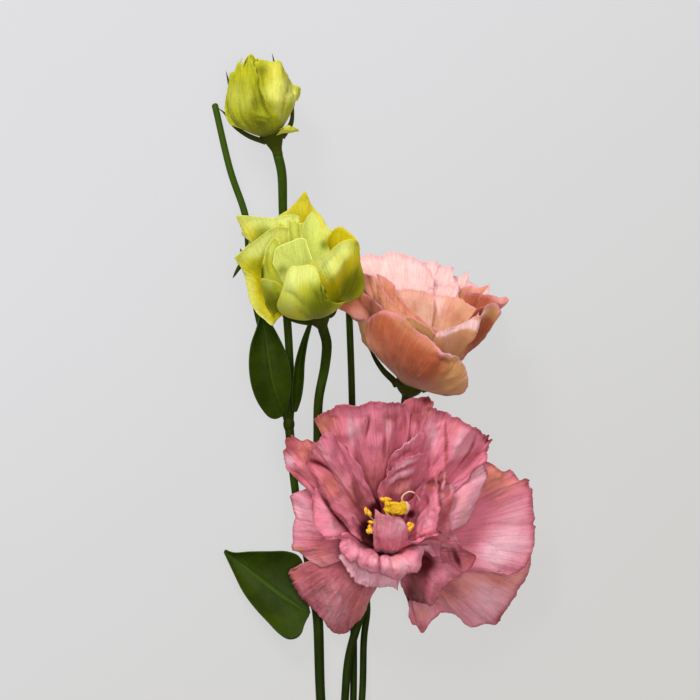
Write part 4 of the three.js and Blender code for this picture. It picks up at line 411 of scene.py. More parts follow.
# The pale dabs on right_front are painted light on its lower, shaded side, and the deep and dark streaks on
# left_front paint shade along the groove down its right side.
CLOSED = Flower(seat=(-31.8, 118.5, 14), axis=(-0.27, 0.96, 0), throat=1.8, mouth=11, tube=8, petals=dict(
    left_front=Petal([(-45.2, 131.5, 9), (-44, 134.5, 10), (-44.9, 138.4, 11), (-43.4, 138.2, 13),
        (-42.8, 141.6, 14), (-41.9, 141, 15.5), (-41.4, 142.4, 16), (-39.9, 141.4, 17.5),
        (-39.4, 142.9, 17.5), (-37.8, 141.6, 18.5), (-37, 138.5, 20.5), (-36.7, 135, 22.5), (-35.4, 132, 24),
        (-34.4, 129, 24.5), (-32.4, 125.2, 24)], (165, 300), 1.05, tube=(7, 4, 4, 4), bow=[(-1, -2.5, 1),
        (-3, -4.5, 3), (-2, -4, 4), (0, -1, 1)], swell=1,
        scorched=0, teeth=[(-40, 142, 4, 2.0)], pleats=[(-42.5, 139, -41.8, 130, -41.2, 122, 0.5, -0.9),
        (-39.5, 138, -38.5, 131, -37.5, 124, 0.9, 0.7), (-37.5, 134, -36.8, 129, -36, 125, 0.6, -0.7),
        (-36.8, 125.2, -34.5, 124.9, -32.5, 124, 0.4, 0.9),
        (-36.4, 123.6, -34.5, 123.6, -33, 123.1, 0.4, 0.8), (-44.5, 131, -44, 127, -42.5, 122, 0.7, 0.6)],
        warm_dabs=[(-40.5, 138, 3, 0.5)], pale_dabs=[(-41, 128, 4, 0.4), (-44, 132, 3, 0.3)],
        deep_streaks=[(-37, 138, -36, 133.5, -34.5, 128, -32.5, 124.5, 0.6, 1.2)],
        deep_dabs=[(-37, 128.5, 2.5, 0.7), (-39, 123, 4, 0.5), (-37, 133, 2, 0.4), (-35, 122, 3, 0.6)],
        dark_streaks=[(-37, 138, -36, 133.5, -34.5, 128, -32.5, 124.5, 0.4, 0.5)]),
    right_front=Petal([(-38, 137.5, 19), (-37.4, 141.2, 17), (-35.3, 141.9, 16.5), (-32, 141.5, 16.5),
        (-29.6, 142.2, 16), (-28.2, 140, 15), (-26.6, 137.2, 14), (-24.9, 134.6, 13.5), (-23.2, 133.2, 13.5),
        (-23.4, 130, 13.5), (-26.2, 129.4, 15)], (250, 375), 0.95, bow=[(0.5, -1, 1), (0, -2, 2),
        (-4.5, 0, 1)], swell=1,
        warm=0.3, scorched=0, teeth=[(-36.5, 141.5, 2, 1.2)],
        pleats=[(-35.8, 140, -34.6, 134, -33, 128, 0.7, -0.9), (-31, 140, -30.6, 133, -30.5, 126, 1.0, 0.7),
        (-26.5, 136, -28, 131, -29.2, 124, 0.6, -0.7), (-24, 132, -27, 130.5, -30, 130, 0.6, 0.5)],
        warm_dabs=[(-30, 139, 4, 0.7)], pale_dabs=[(-28, 132, 3.5, 0.9), (-30, 123, 3, 0.9),
        (-31, 140, 4, 0.6), (-32, 124, 2.5, 0.6), (-31.5, 131.5, 4, 0.7), (-25, 130, 2, 0.5)],
        deep_dabs=[(-27, 133, 3, 0.3), (-32.5, 127, 3, 0.4), (-35, 138.5, 2.5, 0.8)]),
    back=Petal([(-26, 131, 11), (-28, 136, 8), (-32, 139, 7), (-37, 139.5, 7), (-42, 137.5, 9)],
        (20, 170), bow=arch(0, -2, -2)),
    crest=Petal([(-41, 138, 12), (-40.2, 142.6, 12), (-38.9, 143.8, 12.5), (-38, 142.4, 13),
        (-36.6, 142.6, 13.5), (-35.5, 139, 14)], (150, 60), 0.7,
        warm=0.9, frill=1.5, scorched=0, teeth=[(-39.5, 142.5, 3, 0.6)],
        pleats=[(-40, 143, -39.8, 140, -39.5, 137, 0.4, -1.0), (-38, 143, -38, 140, -38, 137, 0.4, -1.0)],
        pale_dabs=[(-39, 143, 2, 0.4)], deep_dabs=[(-38.5, 138, 3, 0.7)]),
    left_back=Petal([(-44, 123, 12), (-46.2, 123.9, 12), (-46.8, 127, 12), (-46.2, 131, 11),
        (-44.2, 134.3, 10), (-42, 136, 10)], (195, 150), 1.1, tube=7, bow=[(0, -1, 0), (0, -1, 0)],
        warm=0.2, pale=0.3),
    side_tip=Petal([(-30, 120, 18), (-27.6, 120.6, 18.5), (-25.4, 120.3, 18.5), (-23.4, 119.8, 18),
        (-25.6, 119.1, 18.5), (-28, 119, 19), (-30.6, 118.4, 19)], (328, 300), 0.8, tube=1.8,
        warm=0.4, pale=0.5)
))

# Each stem: the points it runs through and its radii from foot to top
STEMS = {
    "main": ([(-12.6, -143.2, 1.6), (-12, -128, 1.6), (-11.8, -115.6, 2.2)], (1.7, 1.6, 1.9)),
    "long_branch": ([(-11.8, -115.6, 2.2), (-14.5, -85, 2.4), (-16.9, -56.7, 2.6), (-17.7, -33, 3),
        (-18.3, -27.3, 3.2)], (1.5, 1.45, 1.45, 1.6)),
    "long_branch_top": ([(-18.3, -27.3, 3.2), (-22, -8, 3.6), (-24.8, 8, 4.2), (-26.7, 28, 5)],
        (1.4, 1.2, 1.2, 1.4)),
    "opening_bud": ([(-18.3, -27.3, 3.2), (-18.2, -5, 5), (-17.8, 23.9, 8), (-17.5, 36.3, 10),
        (-15.5, 47, 12.5), (-15, 54, 15.5), (-16.1, 58.2, 17.7)], (1.4, 1.4, 1.35, 1.4, 1.6)),
    "closed_bud": ([(-26.7, 28, 5), (-26.2, 38, 5), (-26.7, 51.8, 5), (-27.6, 66, 5), (-28.6, 93.6, 7),
        (-29, 107, 12), (-30.3, 112.9, 14)], (1.3, 1.2, 1.3, 1.3, 1.5)),
    "cut_shoot": ([(-26.7, 28, 5), (-31, 44, 5), (-36.3, 62.3, 5.5), (-39, 79, 6.5), (-40.2, 93, 7),
        (-45, 107.6, 6), (-49.8, 127.9, 5)], (1.2, 1.1, 1.05, 1.05, 1)),
    "pink_bloom": ([(-11.8, -115.6, 2.2), (-10.6, -85, 3), (-9.3, -56.7, 4), (-8.2, -44.3, 4.2),
        (-5.3, -33.5, 4.2), (-1.6, -22.6, 4), (0.5, -18.4, 3.6)], (1.4, 1.2, 1.2, 1.25, 1.4)),
    "bare": ([(-8, -90, 2.2), (-6.7, -56.7, 2), (-6.7, -20, 2), (-7.1, 35.3, 3), (-8.1, 66, 4)],
        (1.1, 1.05, 1.05, 1.05)),
    "salmon_bloom": ([(-11.8, -115.6, 2.2), (-8, -90, 2.2), (-4, -56.7, 2.4), (-3.4, -38, 1.4),
        (-2.4, -29, 1.2), (-3.3, -18, 1.2), (-1.5, -5, 1.3), (4, 12, 2.5), (8, 28, 7), (9.7, 36.5, 12.5)],
        (1.3, 1.1, 1.05, 1.05, 1.1, 1.4)),
}

# Each leaf: its left edge, its midrib and its right edge, from foot to tip
LEAVES = {
    "leaf_upper_left": ([(-28.6, 31.2, 8), (-31, 30.3, 10), (-33, 31, 11.5), (-35.3, 33.7, 13),
        (-37.2, 37.2, 15), (-38.6, 42, 16.5), (-39.1, 48, 17.5), (-38.5, 53.5, 17.5), (-36.8, 58.5, 17),
        (-35.7, 62.6, 16)], [(-28.2, 31.8, 7.6), (-30, 36, 10), (-31.8, 42, 12.5), (-33, 49, 14),
        (-34, 56, 14.5), (-35.2, 62.8, 15.5)], [(-27.7, 32.3, 8), (-26.3, 38, 12.5), (-26, 43, 15),
        (-27, 49, 16), (-29.5, 55, 16.5), (-32, 59.5, 16.5), (-34.8, 63, 16)]),
    "leaf_upper_right": ([(-25.6, 32.4, 8.3), (-25.8, 37, 10.6), (-25.5, 42, 12.6), (-24.7, 48, 14.2),
        (-23, 54, 15.3), (-20.7, 60, 15.4)], [(-24.9, 32.5, 8.1), (-24.4, 37, 9.3), (-24, 42, 11),
        (-23.2, 48, 13), (-22, 54, 14.5), (-20.1, 60.2, 15.3)], [(-24.2, 32.7, 8.3), (-22.9, 37, 10.8),
        (-22.2, 42, 13.4), (-21.9, 48, 15.6), (-21, 54, 16.2), (-19.5, 60.2, 15.6)]),
    "leaf_lower_left": ([(-20.6, -31, 5), (-22, -34, 6), (-22.8, -36.4, 6.5), (-24.3, -37.9, 7),
        (-26.8, -38.3, 7.5), (-29.5, -36.8, 8), (-33, -33.2, 8.5), (-37.5, -28.3, 8.5), (-41, -23.5, 8),
        (-44, -17.5, 7.5), (-46.9, -11.3, 7)], [(-20.3, -30.4, 4.6), (-24, -28, 5), (-30, -24, 5.4),
        (-36, -19.3, 5.6), (-42, -14.4, 6), (-46.9, -10.8, 6.6)], [(-20.2, -29.8, 4.4), (-21, -24, 5),
        (-21.5, -18, 6), (-23.5, -12.6, 7), (-27, -11, 8), (-33, -10.9, 9.5), (-39, -11, 9), (-44, -11.3, 8),
        (-46.6, -10.4, 7)]),
}

# Each flower's sepals: the angle round its axis where one starts and the points it runs through
SEPALS = {
    "pink": [(0, [(11.5, -8.5, 10.5), (15, -8, 10.5)]), (215, [(-0.5, -15, 11), (-2.5, -18, 10)]),
        (165, [(-4, -6.5, 10), (-8, -5, 10)]), (75, [(6, -1.5, 7.5), (7.5, 3, 7)])],
    "salmon": [(190, [(5.7, 42.4, 12.6), (2.8, 45.2, 12.4), (0, 49.2, 12.6), (-2, 53, 13)]),
        (0, [(18, 40.5, 12), (21, 43, 10)]), (100, [(9.5, 47, 7), (9, 53, 3)])],
    "opening": [(350, [(-12.8, 63.4, 18), (-11.6, 65.8, 16)]), (215, [(-24.5, 60.9, 22.5),
        (-29, 62.4, 22.5)]), (90, [(-20, 70, 12), (-21, 76, 10.5)])],
    "closed": [(0, [(-26.2, 122, 11.5), (-25.6, 126, 8), (-25.5, 129.7, 6)]), (100, [(-29.5, 126, 2.5),
        (-30, 135, 0.5), (-31.3, 141, 4), (-32, 144.2, 6)]), (150, [(-39.5, 125, 3.5), (-44.5, 132, 1.5),
        (-46.4, 138.7, 5)]), (190, [(-39.6, 118.6, 9), (-43.8, 121.6, 8.2), (-46.6, 125.3, 7.6),
        (-48.8, 127.2, 7.6)])],
}


# Shapes

def unit(v):
    v = np.asarray(v, float)
    return v / np.maximum(np.linalg.norm(v, axis=-1, keepdims=True), 1e-12)


def ease(x):
    x = np.clip(x, 0, 1)
    return x * x * (3 - 2 * x)


def after(s, start):
    """0 up to start, then a smooth rise to 1 at the rim."""
    return ease((s - start) / (1 - start))


def bell(x):
    return np.exp(-x**2)


def curve(points, t):
    """A smooth curve through points, at places t from 0 to 1 that share each span equally."""
    p = np.asarray(points, float)
    p = np.vstack([2 * p[0] - p[1], p, 2 * p[-1] - p[-2]])
    place = np.clip(t, 0, 1) * (len(p) - 3)
    i = np.minimum(place.astype(int), len(p) - 4)
    w = (place - i)[..., None]
    p0, p1, p2, p3 = p[i], p[i + 1], p[i + 2], p[i + 3]
    gaps = [np.sqrt(np.linalg.norm(b - a, axis=-1, keepdims=True)) for a, b in ((p0, p1), (p1, p2), (p2, p3))]
    d1 = np.where(gaps[1] < 1e-4, 1.0, gaps[1])
    d0 = np.where(gaps[0] < 1e-4, d1, gaps[0])
    d2 = np.where(gaps[2] < 1e-4, d1, gaps[2])
    m1 = ((p1 - p0) / d0 - (p2 - p0) / (d0 + d1) + (p2 - p1) / d1) * d1
    m2 = ((p2 - p1) / d1 - (p3 - p1) / (d1 + d2) + (p3 - p2) / d2) * d1
    return p1 + m1 * w + (3 * (p2 - p1) - 2 * m1 - m2) * w**2 + (2 * (p1 - p2) + m1 + m2) * w**3


def traced(points):
    """Many points of a smooth curve, and how far along it each lies."""
    fine = curve(points, np.linspace(0, 1, 40 * len(points)))
    return fine, np.concatenate([[0], np.cumsum(np.linalg.norm(np.diff(fine, axis=0), axis=1))])


def evenly(points, steps):
    """Points of a smooth curve, equally spaced along it."""
    fine, run = traced(points)
    at = np.linspace(0, run[-1], steps + 1)
    return np.stack([np.interp(at, run, fine[:, k]) for k in range(3)], axis=1)


def length_of(points):
    return traced(points)[1][-1]


def spread(values, t):
    """Values given at equal steps from side to side, at places t."""
    values = np.asarray(values, float)
    steps = np.linspace(0, 1, len(values))
    return np.stack([np.interp(t, steps, column) for column in np.atleast_2d(values.T)], axis=-1)


def axis_frame(axis):
    n = unit(axis)
    e1 = unit(np.array([1.0, 0, 0]) - n * n[0])
    return n, e1, np.cross(n, e1)


def around(flower, degrees):
    _, e1, e2 = axis_frame(flower.axis)
    a = np.radians(degrees)
    return e1 * np.cos(a)[..., None] + e2 * np.sin(a)[..., None]


def on_axis(flower, height, degrees=0.0, radius=0.0):
    n = axis_frame(flower.axis)[0]
    return np.array(flower.seat) + n * height + around(flower, np.asarray(degrees, float)) * radius


def petal_sheet(flower, petal, s, t):
    """The plain surface of a petal, before its folds."""
    n = axis_frame(flower.axis)[0]
    seat = np.array(flower.seat, float)
    out = around(flower, petal.root[0] + (petal.root[1] - petal.root[0]) * t)
    root = seat + out * flower.throat * petal.layer
    tube = spread(np.atleast_1d(flower.tube if petal.tube is None else petal.tube), t)
    mouth = seat + n * tube + out * flower.mouth * petal.layer
    tip = curve(petal.rim, t)
    shoulder = mouth + (tip - mouth) * petal.reach + spread(petal.bow, t)
    s = s[..., None]
    return root * (1 - s)**3 + 3 * mouth * s * (1 - s)**2 + 3 * shoulder * s * s * (1 - s) + tip * s**3


def grid_normals(p):
    """Unit normals of a grid of points, towards the face seen when the rim runs clockwise."""
    return unit(np.cross(np.gradient(p, axis=1), np.gradient(p, axis=0)))


# How far a crease leans, how far and how often creases crowd, and how often they grow and fade
LEAN, CROWD, CROWDS, FADES = 0.02, 0.35, 0.31, 0.23
# Each size of crease comes in two sets: the second has this share of the first one's count. Each set has
# this share of the height.
SECOND_COUNT, SET_HEIGHT = 0.618, 0.6


def waves(rng, t, s, span, sizes):
    """Creases that run from root to rim. sizes are (width in mm, height in mm, rise where it starts)."""
    lift = np.zeros_like(t)
    for width, height, start in sizes:
        count = max(1.0, span / width)
        for share in (1.0, SECOND_COUNT):
            phase, drift, swell = rng.uniform(0, 2 * math.pi, 3)
            turns = 2 * math.pi * count
            bent = t + LEAN * np.sin(3 * s + drift) + CROWD / count * np.sin(turns * t * CROWDS + swell)
            strength = 0.5 + 0.5 * np.sin(turns * t * FADES + drift)
            lift += SET_HEIGHT * height * strength * after(s, start) * np.sin(turns * share * bent + phase)
    return lift


# How many waves make one size of crumple, how much their widths vary, and how they bend
CRUMPLE_WAVES, CRUMPLE_WIDTHS, CRUMPLE_BEND, CRUMPLE_BENDS = 7, (0.75, 1.5), 0.9, 0.4
CRUMPLE_SHARE = 1 / 2.6


def crumple(rng, across, along, sizes):
    """An uneven surface, as of soft crumpled skin. sizes are (width, height), all in mm."""
    lift = np.zeros_like(across)
    for width, height in sizes:
        for _ in range(CRUMPLE_WAVES):
            turn, phase, shift = rng.uniform(0, 2 * math.pi, 3)
            k = 2 * math.pi / (width * rng.uniform(*CRUMPLE_WIDTHS))
            c, w = np.cos(turn), np.sin(turn)
            bend = CRUMPLE_BEND * np.sin(k * CRUMPLE_BENDS * (across * w - along * c) + shift)
            lift += height * CRUMPLE_SHARE * np.sin(k * (across * c + along * w) + phase + bend)
    return lift


LINE_STEPS, LINE_FULLNESS = 16, 0.6


def from_line(p, line):
    """How far points lie from a line seen from above, how full the line is there, from 0 past its ends to
    1 in its middle, and the line's width and amount."""
    *places, width, amount = line
    points = evenly([(x, y, 0) for x, y in zip(places[::2], places[1::2])], LINE_STEPS)[:, :2]
    steps = np.linalg.norm(p[..., None, :2] - points, axis=-1)
    full = np.sin(math.pi * (steps.argmin(-1) + 0.5) / (LINE_STEPS + 1))**LINE_FULLNESS
    return steps.min(-1), full, width, amount


def near(p, x, y, radius):
    """1 at a place seen from above, fading out round it."""
    return np.exp(-((p[..., 0] - x)**2 + (p[..., 1] - y)**2) / radius**2)


# The grid of a petal: rows of one as wide as FULL_SPAN, the cells' width, the fewest and the most of them,
# and how the rows crowd towards the rim
ROWS, FULL_SPAN, CELL, FEWEST, MOST, CROWDING = 44, 30, 0.38, 24, 230, 1.3
# Widths, heights and starts of the creases and of the rim's frill of a full-blown petal
CREASES = ((16, 0.8, 0.1), (8, 0.55, 0.25), (4.4, 0.28, 0.5), (2.3, 0.12, 0.75))
FRILL = ((6, 0.45, 0.75), (2.8, 0.4, 0.86), (1.5, 0.28, 0.93))
# Widths and heights of its skin's crumple, and how soon that is full
SKIN, SKIN_RISE = ((7, 0.3), (3.2, 0.12), (1.6, 0.05)), 1.5
# How soon a fold is full, and how much of it is left from foot to rim
FOLD_RISE, FOLD_FOOT, FOLD_LOSS = 1.2, 1.15, 0.35
# How high a pleat stands and how round it is, and the kind, side, amount and width of its two tones:
# painted shade along a pleat pressed in and a painted highlight along one raised
PLEAT_LIFT, PLEAT_ROUND = 1.25, 0.12
PLEAT_SHADE_AND_HIGHLIGHT = ((DEEP, -1, 0.45, 0.7), (PALE, 1, 0.3, 0.9))
# Where on the way to the rim these start
RUFFLE_START, ROLL_START, TOOTH_START, SCORCH_START = 0.35, 0.72, 0.86, 0.93
# The cells and the depth of the teeth of each size, and their range
TOOTH_SIZES, TOOTH_RANGE = ((1, 0.4), (2, 0.7), (5, 0.7)), (-1, 0.6)
PLAIN_ROLL, PLAIN_SCORCH, TIP_RADIUS = 0.35, 0.45, 4.0
PETAL_THICKNESS, PETAL_THINNING, FLOOR = 0.4, 0.6, 0.3
# Painted shade deep in the throat, round the anthers and low on the petals of the pink bloom, in maroon:
# (x, y, radius)
THROAT_SHADE = [(-3, -3.5, 2.8), (-2.2, -7.5, 2.4), (0, 2.8, 2.2), (8.3, -2.5, 1.5), (11.2, 1, 1.5)]
HEART_DARK, HEART_TOP, HEART_FADE = 1.2, 0.6, 0.3


def build_petal(flower, petal, rng, ruffled):
    """The closed blade of a petal: its points, faces and the values that colour it."""
    dress = petal.dress
    span = length_of(petal.rim)
    across = int(np.clip(span / CELL, FEWEST, MOST))
    rows = int(np.clip(ROWS * span / FULL_SPAN, FEWEST, ROWS))
    s = 1 - (1 - np.linspace(0, 1, rows + 1))**CROWDING
    s, t = np.meshgrid(s, np.linspace(0, 1, across + 1), indexing="ij")
    p = petal_sheet(flower, petal, s, t)
    steps = np.linalg.norm(np.diff(p, axis=0), axis=2)
    length = np.concatenate([np.zeros((1, across + 1)), np.cumsum(steps, axis=0)])
    normal = grid_normals(p)
    lift = petal.swell * np.sin(math.pi * s) * np.sin(math.pi * t)
    for at, width, height in petal.folds:
        lift += height * bell((t - at) / width) * ease(s * FOLD_RISE) * (FOLD_FOOT - FOLD_LOSS * s)
    size, count, phase = petal.ruffle
    lift += size * after(s, RUFFLE_START) * np.sin(2 * math.pi * (count * t + phase))
    ruffled *= dress.get("ruffled", 1.0)
    lift += ruffled * waves(rng, t, s, span, CREASES)
    lift += ruffled * crumple(rng, t * span, length, SKIN) * ease(s * SKIN_RISE)
    values = {kind: np.full_like(s, dress.get(kind, 0.0)) for kind in KINDS}
    for line in dress.get("pleats", ()):
        off, full, width, height = from_line(p, line)
        lift += PLEAT_LIFT * height * full * np.exp(-np.sqrt((off / width)**2 + PLEAT_ROUND))
        # Painted shade along a pleat pressed in, and a painted highlight along one raised
        for kind, side, amount, wide in PLEAT_SHADE_AND_HIGHLIGHT:
            values[kind] += amount * max(0.0, side * height) * full * bell(off / (wide * width))
    # Streaks and dabs add the petals' own tones and also painted shade and painted highlights, as KINDS says
    for kind in KINDS:
        for line in dress.get(kind + "_streaks", ()):
            off, full, width, amount = from_line(p, line)
            values[kind] += amount * full * bell(off / width)
    edge = after(s, ROLL_START)
    # Painted highlight along the rim, where hem asks for it
    values[PALE] += dress.get("rim_highlight", 0.0) * edge
    roll = np.full_like(s, dress.get("roll", PLAIN_ROLL))
    for x, y in dress.get("tips", ()):
        roll *= 1 - near(p, x, y, TIP_RADIUS)
    lift -= roll * edge**2
    p = p + normal * lift[..., None]
    outward = unit(np.gradient(p, axis=0))
    p = p + outward * (ruffled * dress.get("frill", 1.0) * waves(rng, t, s, span, FRILL))[..., None]
    jagged = sum(depth * rng.uniform(*TOOTH_RANGE, across // cells + 1)[np.arange(across + 1) // cells]
                 for cells, depth in TOOTH_SIZES)
    for x, y, radius, depth in dress.get("teeth", ()):
        here = near(p, x, y, radius)
        p = p + outward * (depth * here * jagged * after(s, TOOTH_START))[..., None]
        values[DARK] += dress.get("scorched", PLAIN_SCORCH) * here * after(s, SCORCH_START)
    p[..., 2] = np.maximum(p[..., 2], FLOOR)
    # Many of these dabs are painted shade or painted highlights, besides the petals' own tones
    for kind in KINDS:
        for x, y, radius, amount in dress.get(kind + "_dabs", ()):
            values[kind] += amount * near(p, x, y, radius)
    # Painted shade deep in the throat round the anthers
    for place in THROAT_SHADE if flower is PINK else ():
        values[DARK] += HEART_DARK * near(p, *place) * (1 - ease((s - HEART_TOP) / HEART_FADE))
    values["rise"] = np.minimum(s, dress.get("fades", 1.0))
    values["lit"] = np.full_like(s, dress.get("lit", 0.0))
    values["sweep"] = t * span
    half = PETAL_THICKNESS * (1 - PETAL_THINNING * s) / 2
    return blade(p, grid_normals(p) * half[..., None], values)


def blade(p, push, values):
    """Pushes a grid of points to both sides, into one closed blade with a wall round its edge."""
    rows, cols = p.shape[:2]
    top = np.arange(rows * cols).reshape(rows, cols)
    low = top + rows * cols
    ring = np.concatenate([top[0, :], top[1:, -1], top[-1, -2::-1], top[-2:0:-1, 0]])
    after_ring = np.roll(ring, -1)
    faces = [np.stack([top[:-1, :-1], top[:-1, 1:], top[1:, 1:], top[1:, :-1]], -1).reshape(-1, 4),
             np.stack([low[:-1, :-1], low[1:, :-1], low[1:, 1:], low[:-1, 1:]], -1).reshape(-1, 4),
             np.stack([ring, ring + rows * cols, after_ring + rows * cols, after_ring], -1)]
    points = np.concatenate([(p + push).reshape(-1, 3), (p - push).reshape(-1, 3)])
    values = {k: np.concatenate([v.ravel(), v.ravel()]) for k, v in values.items()}
    values["upper"] = np.concatenate([np.ones(rows * cols), np.zeros(rows * cols)])
    return points, np.concatenate(faces), values


def lathe(rings, start, end, rise):
    """A closed skin over rings of points, with a point at its start and at its end. rise has one value a
    ring."""
    rows, sides = rings.shape[:2]
    count = rows * sides
    index = np.arange(count).reshape(rows, sides)
    nxt = np.roll(index, -1, axis=1)
    faces = [np.stack([index[:-1], nxt[:-1], nxt[1:], index[1:]], -1).reshape(-1, 4),
             np.stack([np.full(sides, count), nxt[0], index[0], index[0]], -1),
             np.stack([np.full(sides, count + 1), index[-1], nxt[-1], nxt[-1]], -1)]
    points = np.concatenate([rings.reshape(-1, 3), [start, end]])
    return points, np.concatenate(faces), {"rise": np.concatenate([np.repeat(rise, sides), rise[[0, -1]]])}


# Where a stalk with a round end starts to round off, and the least of what is left there
ROUND_START, ROUND_LEAST = 0.8, 0.02
# The rise from which a stalk counts as upright
UPRIGHT = 0.9


def stalk(points, radii, sides, step, ribs=0.0, flat=1.0, round_end=False):
    """A closed round stalk along a smooth curve. flat squeezes it in one direction, and ribs swell four
    lines along it."""
    steps = max(4, int(length_of(points) / step))
    centre = evenly(points, steps)
    tangent = unit(np.gradient(centre, axis=0))
    normal = np.empty_like(centre)
    upright = abs(tangent[0][2]) >= UPRIGHT
    normal[0] = unit(np.cross(tangent[0], [1.0, 0, 0] if upright else [0, 0, 1.0]))
    for i in range(1, len(centre)):
        normal[i] = unit(normal[i - 1] - tangent[i] * np.dot(normal[i - 1], tangent[i]))
    side = np.cross(tangent, normal)
    at = np.linspace(0, 1, steps + 1)
    radius = np.interp(at, np.linspace(0, 1, len(radii)), radii)
    if round_end:
        ending = np.clip((at - ROUND_START) / (1 - ROUND_START), 0, 1)
        radius = radius * np.sqrt(np.clip(1 - ending**2, ROUND_LEAST, 1))
    a = np.linspace(0, 2 * math.pi, sides, endpoint=False)
    wide = radius[:, None] * (1 + ribs * np.cos(4 * a)[None, :])
    rings = (centre[:, None] + normal[:, None] * (np.cos(a)[None, :] * wide)[..., None]
             + side[:, None] * (np.sin(a)[None, :] * wide * flat)[..., None])
    return lathe(rings, centre[0], centre[-1], at)


BEAD_RINGS, BEAD_SIDES = 18, 24
# How many waves make a bead uneven, how close they are and the range of their phases
BEAD_WAVES, BEAD_CLOSENESS, BEAD_PHASES = 9, 3.2, 6.28


def bead(centre, size, turn, rng, rough):
    """A closed uneven grain, with half axes size, turned about +Z by turn degrees."""
    rings, sides = BEAD_RINGS, BEAD_SIDES
    u = np.linspace(0, math.pi, rings + 1)[1:-1]
    v = np.linspace(0, 2 * math.pi, sides, endpoint=False)
    uu, vv = np.meshgrid(u, v, indexing="ij")
    p = np.stack([np.sin(uu) * np.cos(vv), np.sin(uu) * np.sin(vv), np.cos(uu)], -1)
    k = rng.normal(size=(BEAD_WAVES, 3)) * BEAD_CLOSENESS
    phase = rng.uniform(0, BEAD_PHASES, BEAD_WAVES)
    p = p * (1 + rough * sum(np.sin(p @ k[i] + phase[i]) for i in range(BEAD_WAVES)) / 3)[..., None]
    p = np.concatenate([p.reshape(-1, 3) * size, [[0, 0, size[2]], [0, 0, -size[2]]]])
    c, w = math.cos(math.radians(turn)), math.sin(math.radians(turn))
    p = p @ np.array([[c, w, 0], [-w, c, 0], [0, 0, 1.0]]) + np.asarray(centre, float)
    index = np.arange((rings - 1) * sides).reshape(rings - 1, sides)
    nxt = np.roll(index, -1, axis=1)
    n = index.size
    faces = [np.stack([index[:-1], index[1:], nxt[1:], nxt[:-1]], -1).reshape(-1, 4),
             np.stack([np.full(sides, n), index[0], nxt[0], nxt[0]], -1),
             np.stack([np.full(sides, n + 1), nxt[-1], index[-1], index[-1]], -1)]
    return p, np.concatenate(faces), {"rise": np.ones(n + 2)}


def gather(parts):
    """Several closed parts as one set of points, faces and values."""
    names = sorted({name for part in parts for name in part[2]})
    points, faces, first = [], [], 0
    values = {name: [] for name in [*names, "part"]}
    for number, (p, f, v) in enumerate(parts):
        points.append(p)
        faces.append(f + first)
        first += len(p)
        for name in names:
            values[name].append(v.get(name, np.zeros(len(p))))
        values["part"].append(np.full(len(p), float(number)))
    return np.concatenate(points), np.concatenate(faces), {k: np.concatenate(v) for k, v in values.items()}


def add_object(name, data):
    made = bpy.data.objects.new(name, data)
    bpy.context.scene.collection.objects.link(made)
    return made


def make_piece(name, made, finish, nodes):
    """A Blender object from points in mm, riding on the root and standing for CAD nodes."""
    points, faces, values = made
    mesh = bpy.data.meshes.new(name)
    faces = [face[:3] if face[2] == face[3] else face for face in faces.tolist()]
    mesh.from_pydata((points * MM).tolist(), [], faces)
    mesh.update()
    for key, value in values.items():
        mesh.attributes.new(key, "FLOAT", "POINT").data.foreach_set("value", value.astype(np.float32))
    mesh.polygons.foreach_set("use_smooth", np.ones(len(mesh.polygons), bool))
    mesh.materials.append(finish)
    piece = add_object(name, mesh)
    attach(piece, "root")
    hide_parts(*nodes)


# Finishes

def tone(code):
    """A linear colour from a 0xRRGGBB code."""
    parts = [(code >> shift & 255) / 255 for shift in (16, 8, 0)]
    return tuple(c / 12.92 if c <= 0.04045 else ((c + 0.055) / 1.055)**2.4 for c in parts) + (1.0,)


class Wire:
    """A socket of a material, on which arithmetic adds Math nodes."""

    def __init__(self, finish, socket):
        self.finish, self.socket = finish, socket

    def maths(self, operation, *values):
        return self.finish.node("ShaderNodeMath", {"operation": operation}, dict(enumerate(values)))

    def __add__(self, other):
        return self.maths("ADD", self, other)

    def __sub__(self, other):
        return self.maths("SUBTRACT", self, other)

    def __rsub__(self, other):
        return self.maths("SUBTRACT", other, self)

    def __mul__(self, other):
        return self.maths("MULTIPLY", self, other)

    __radd__ = __add__
    __rmul__ = __mul__

    def sway(self, amount):
        """A noise as a push to both sides of nothing."""
        return (self - 0.5) * amount

    def between(self, low, high, most=1.0):
        """0 below low, most above high and smooth in between."""
        settings = {"interpolation_type": "SMOOTHSTEP"}
        return self.finish.node("ShaderNodeMapRange", settings, {0: self, 1: low, 2: high, 4: most})


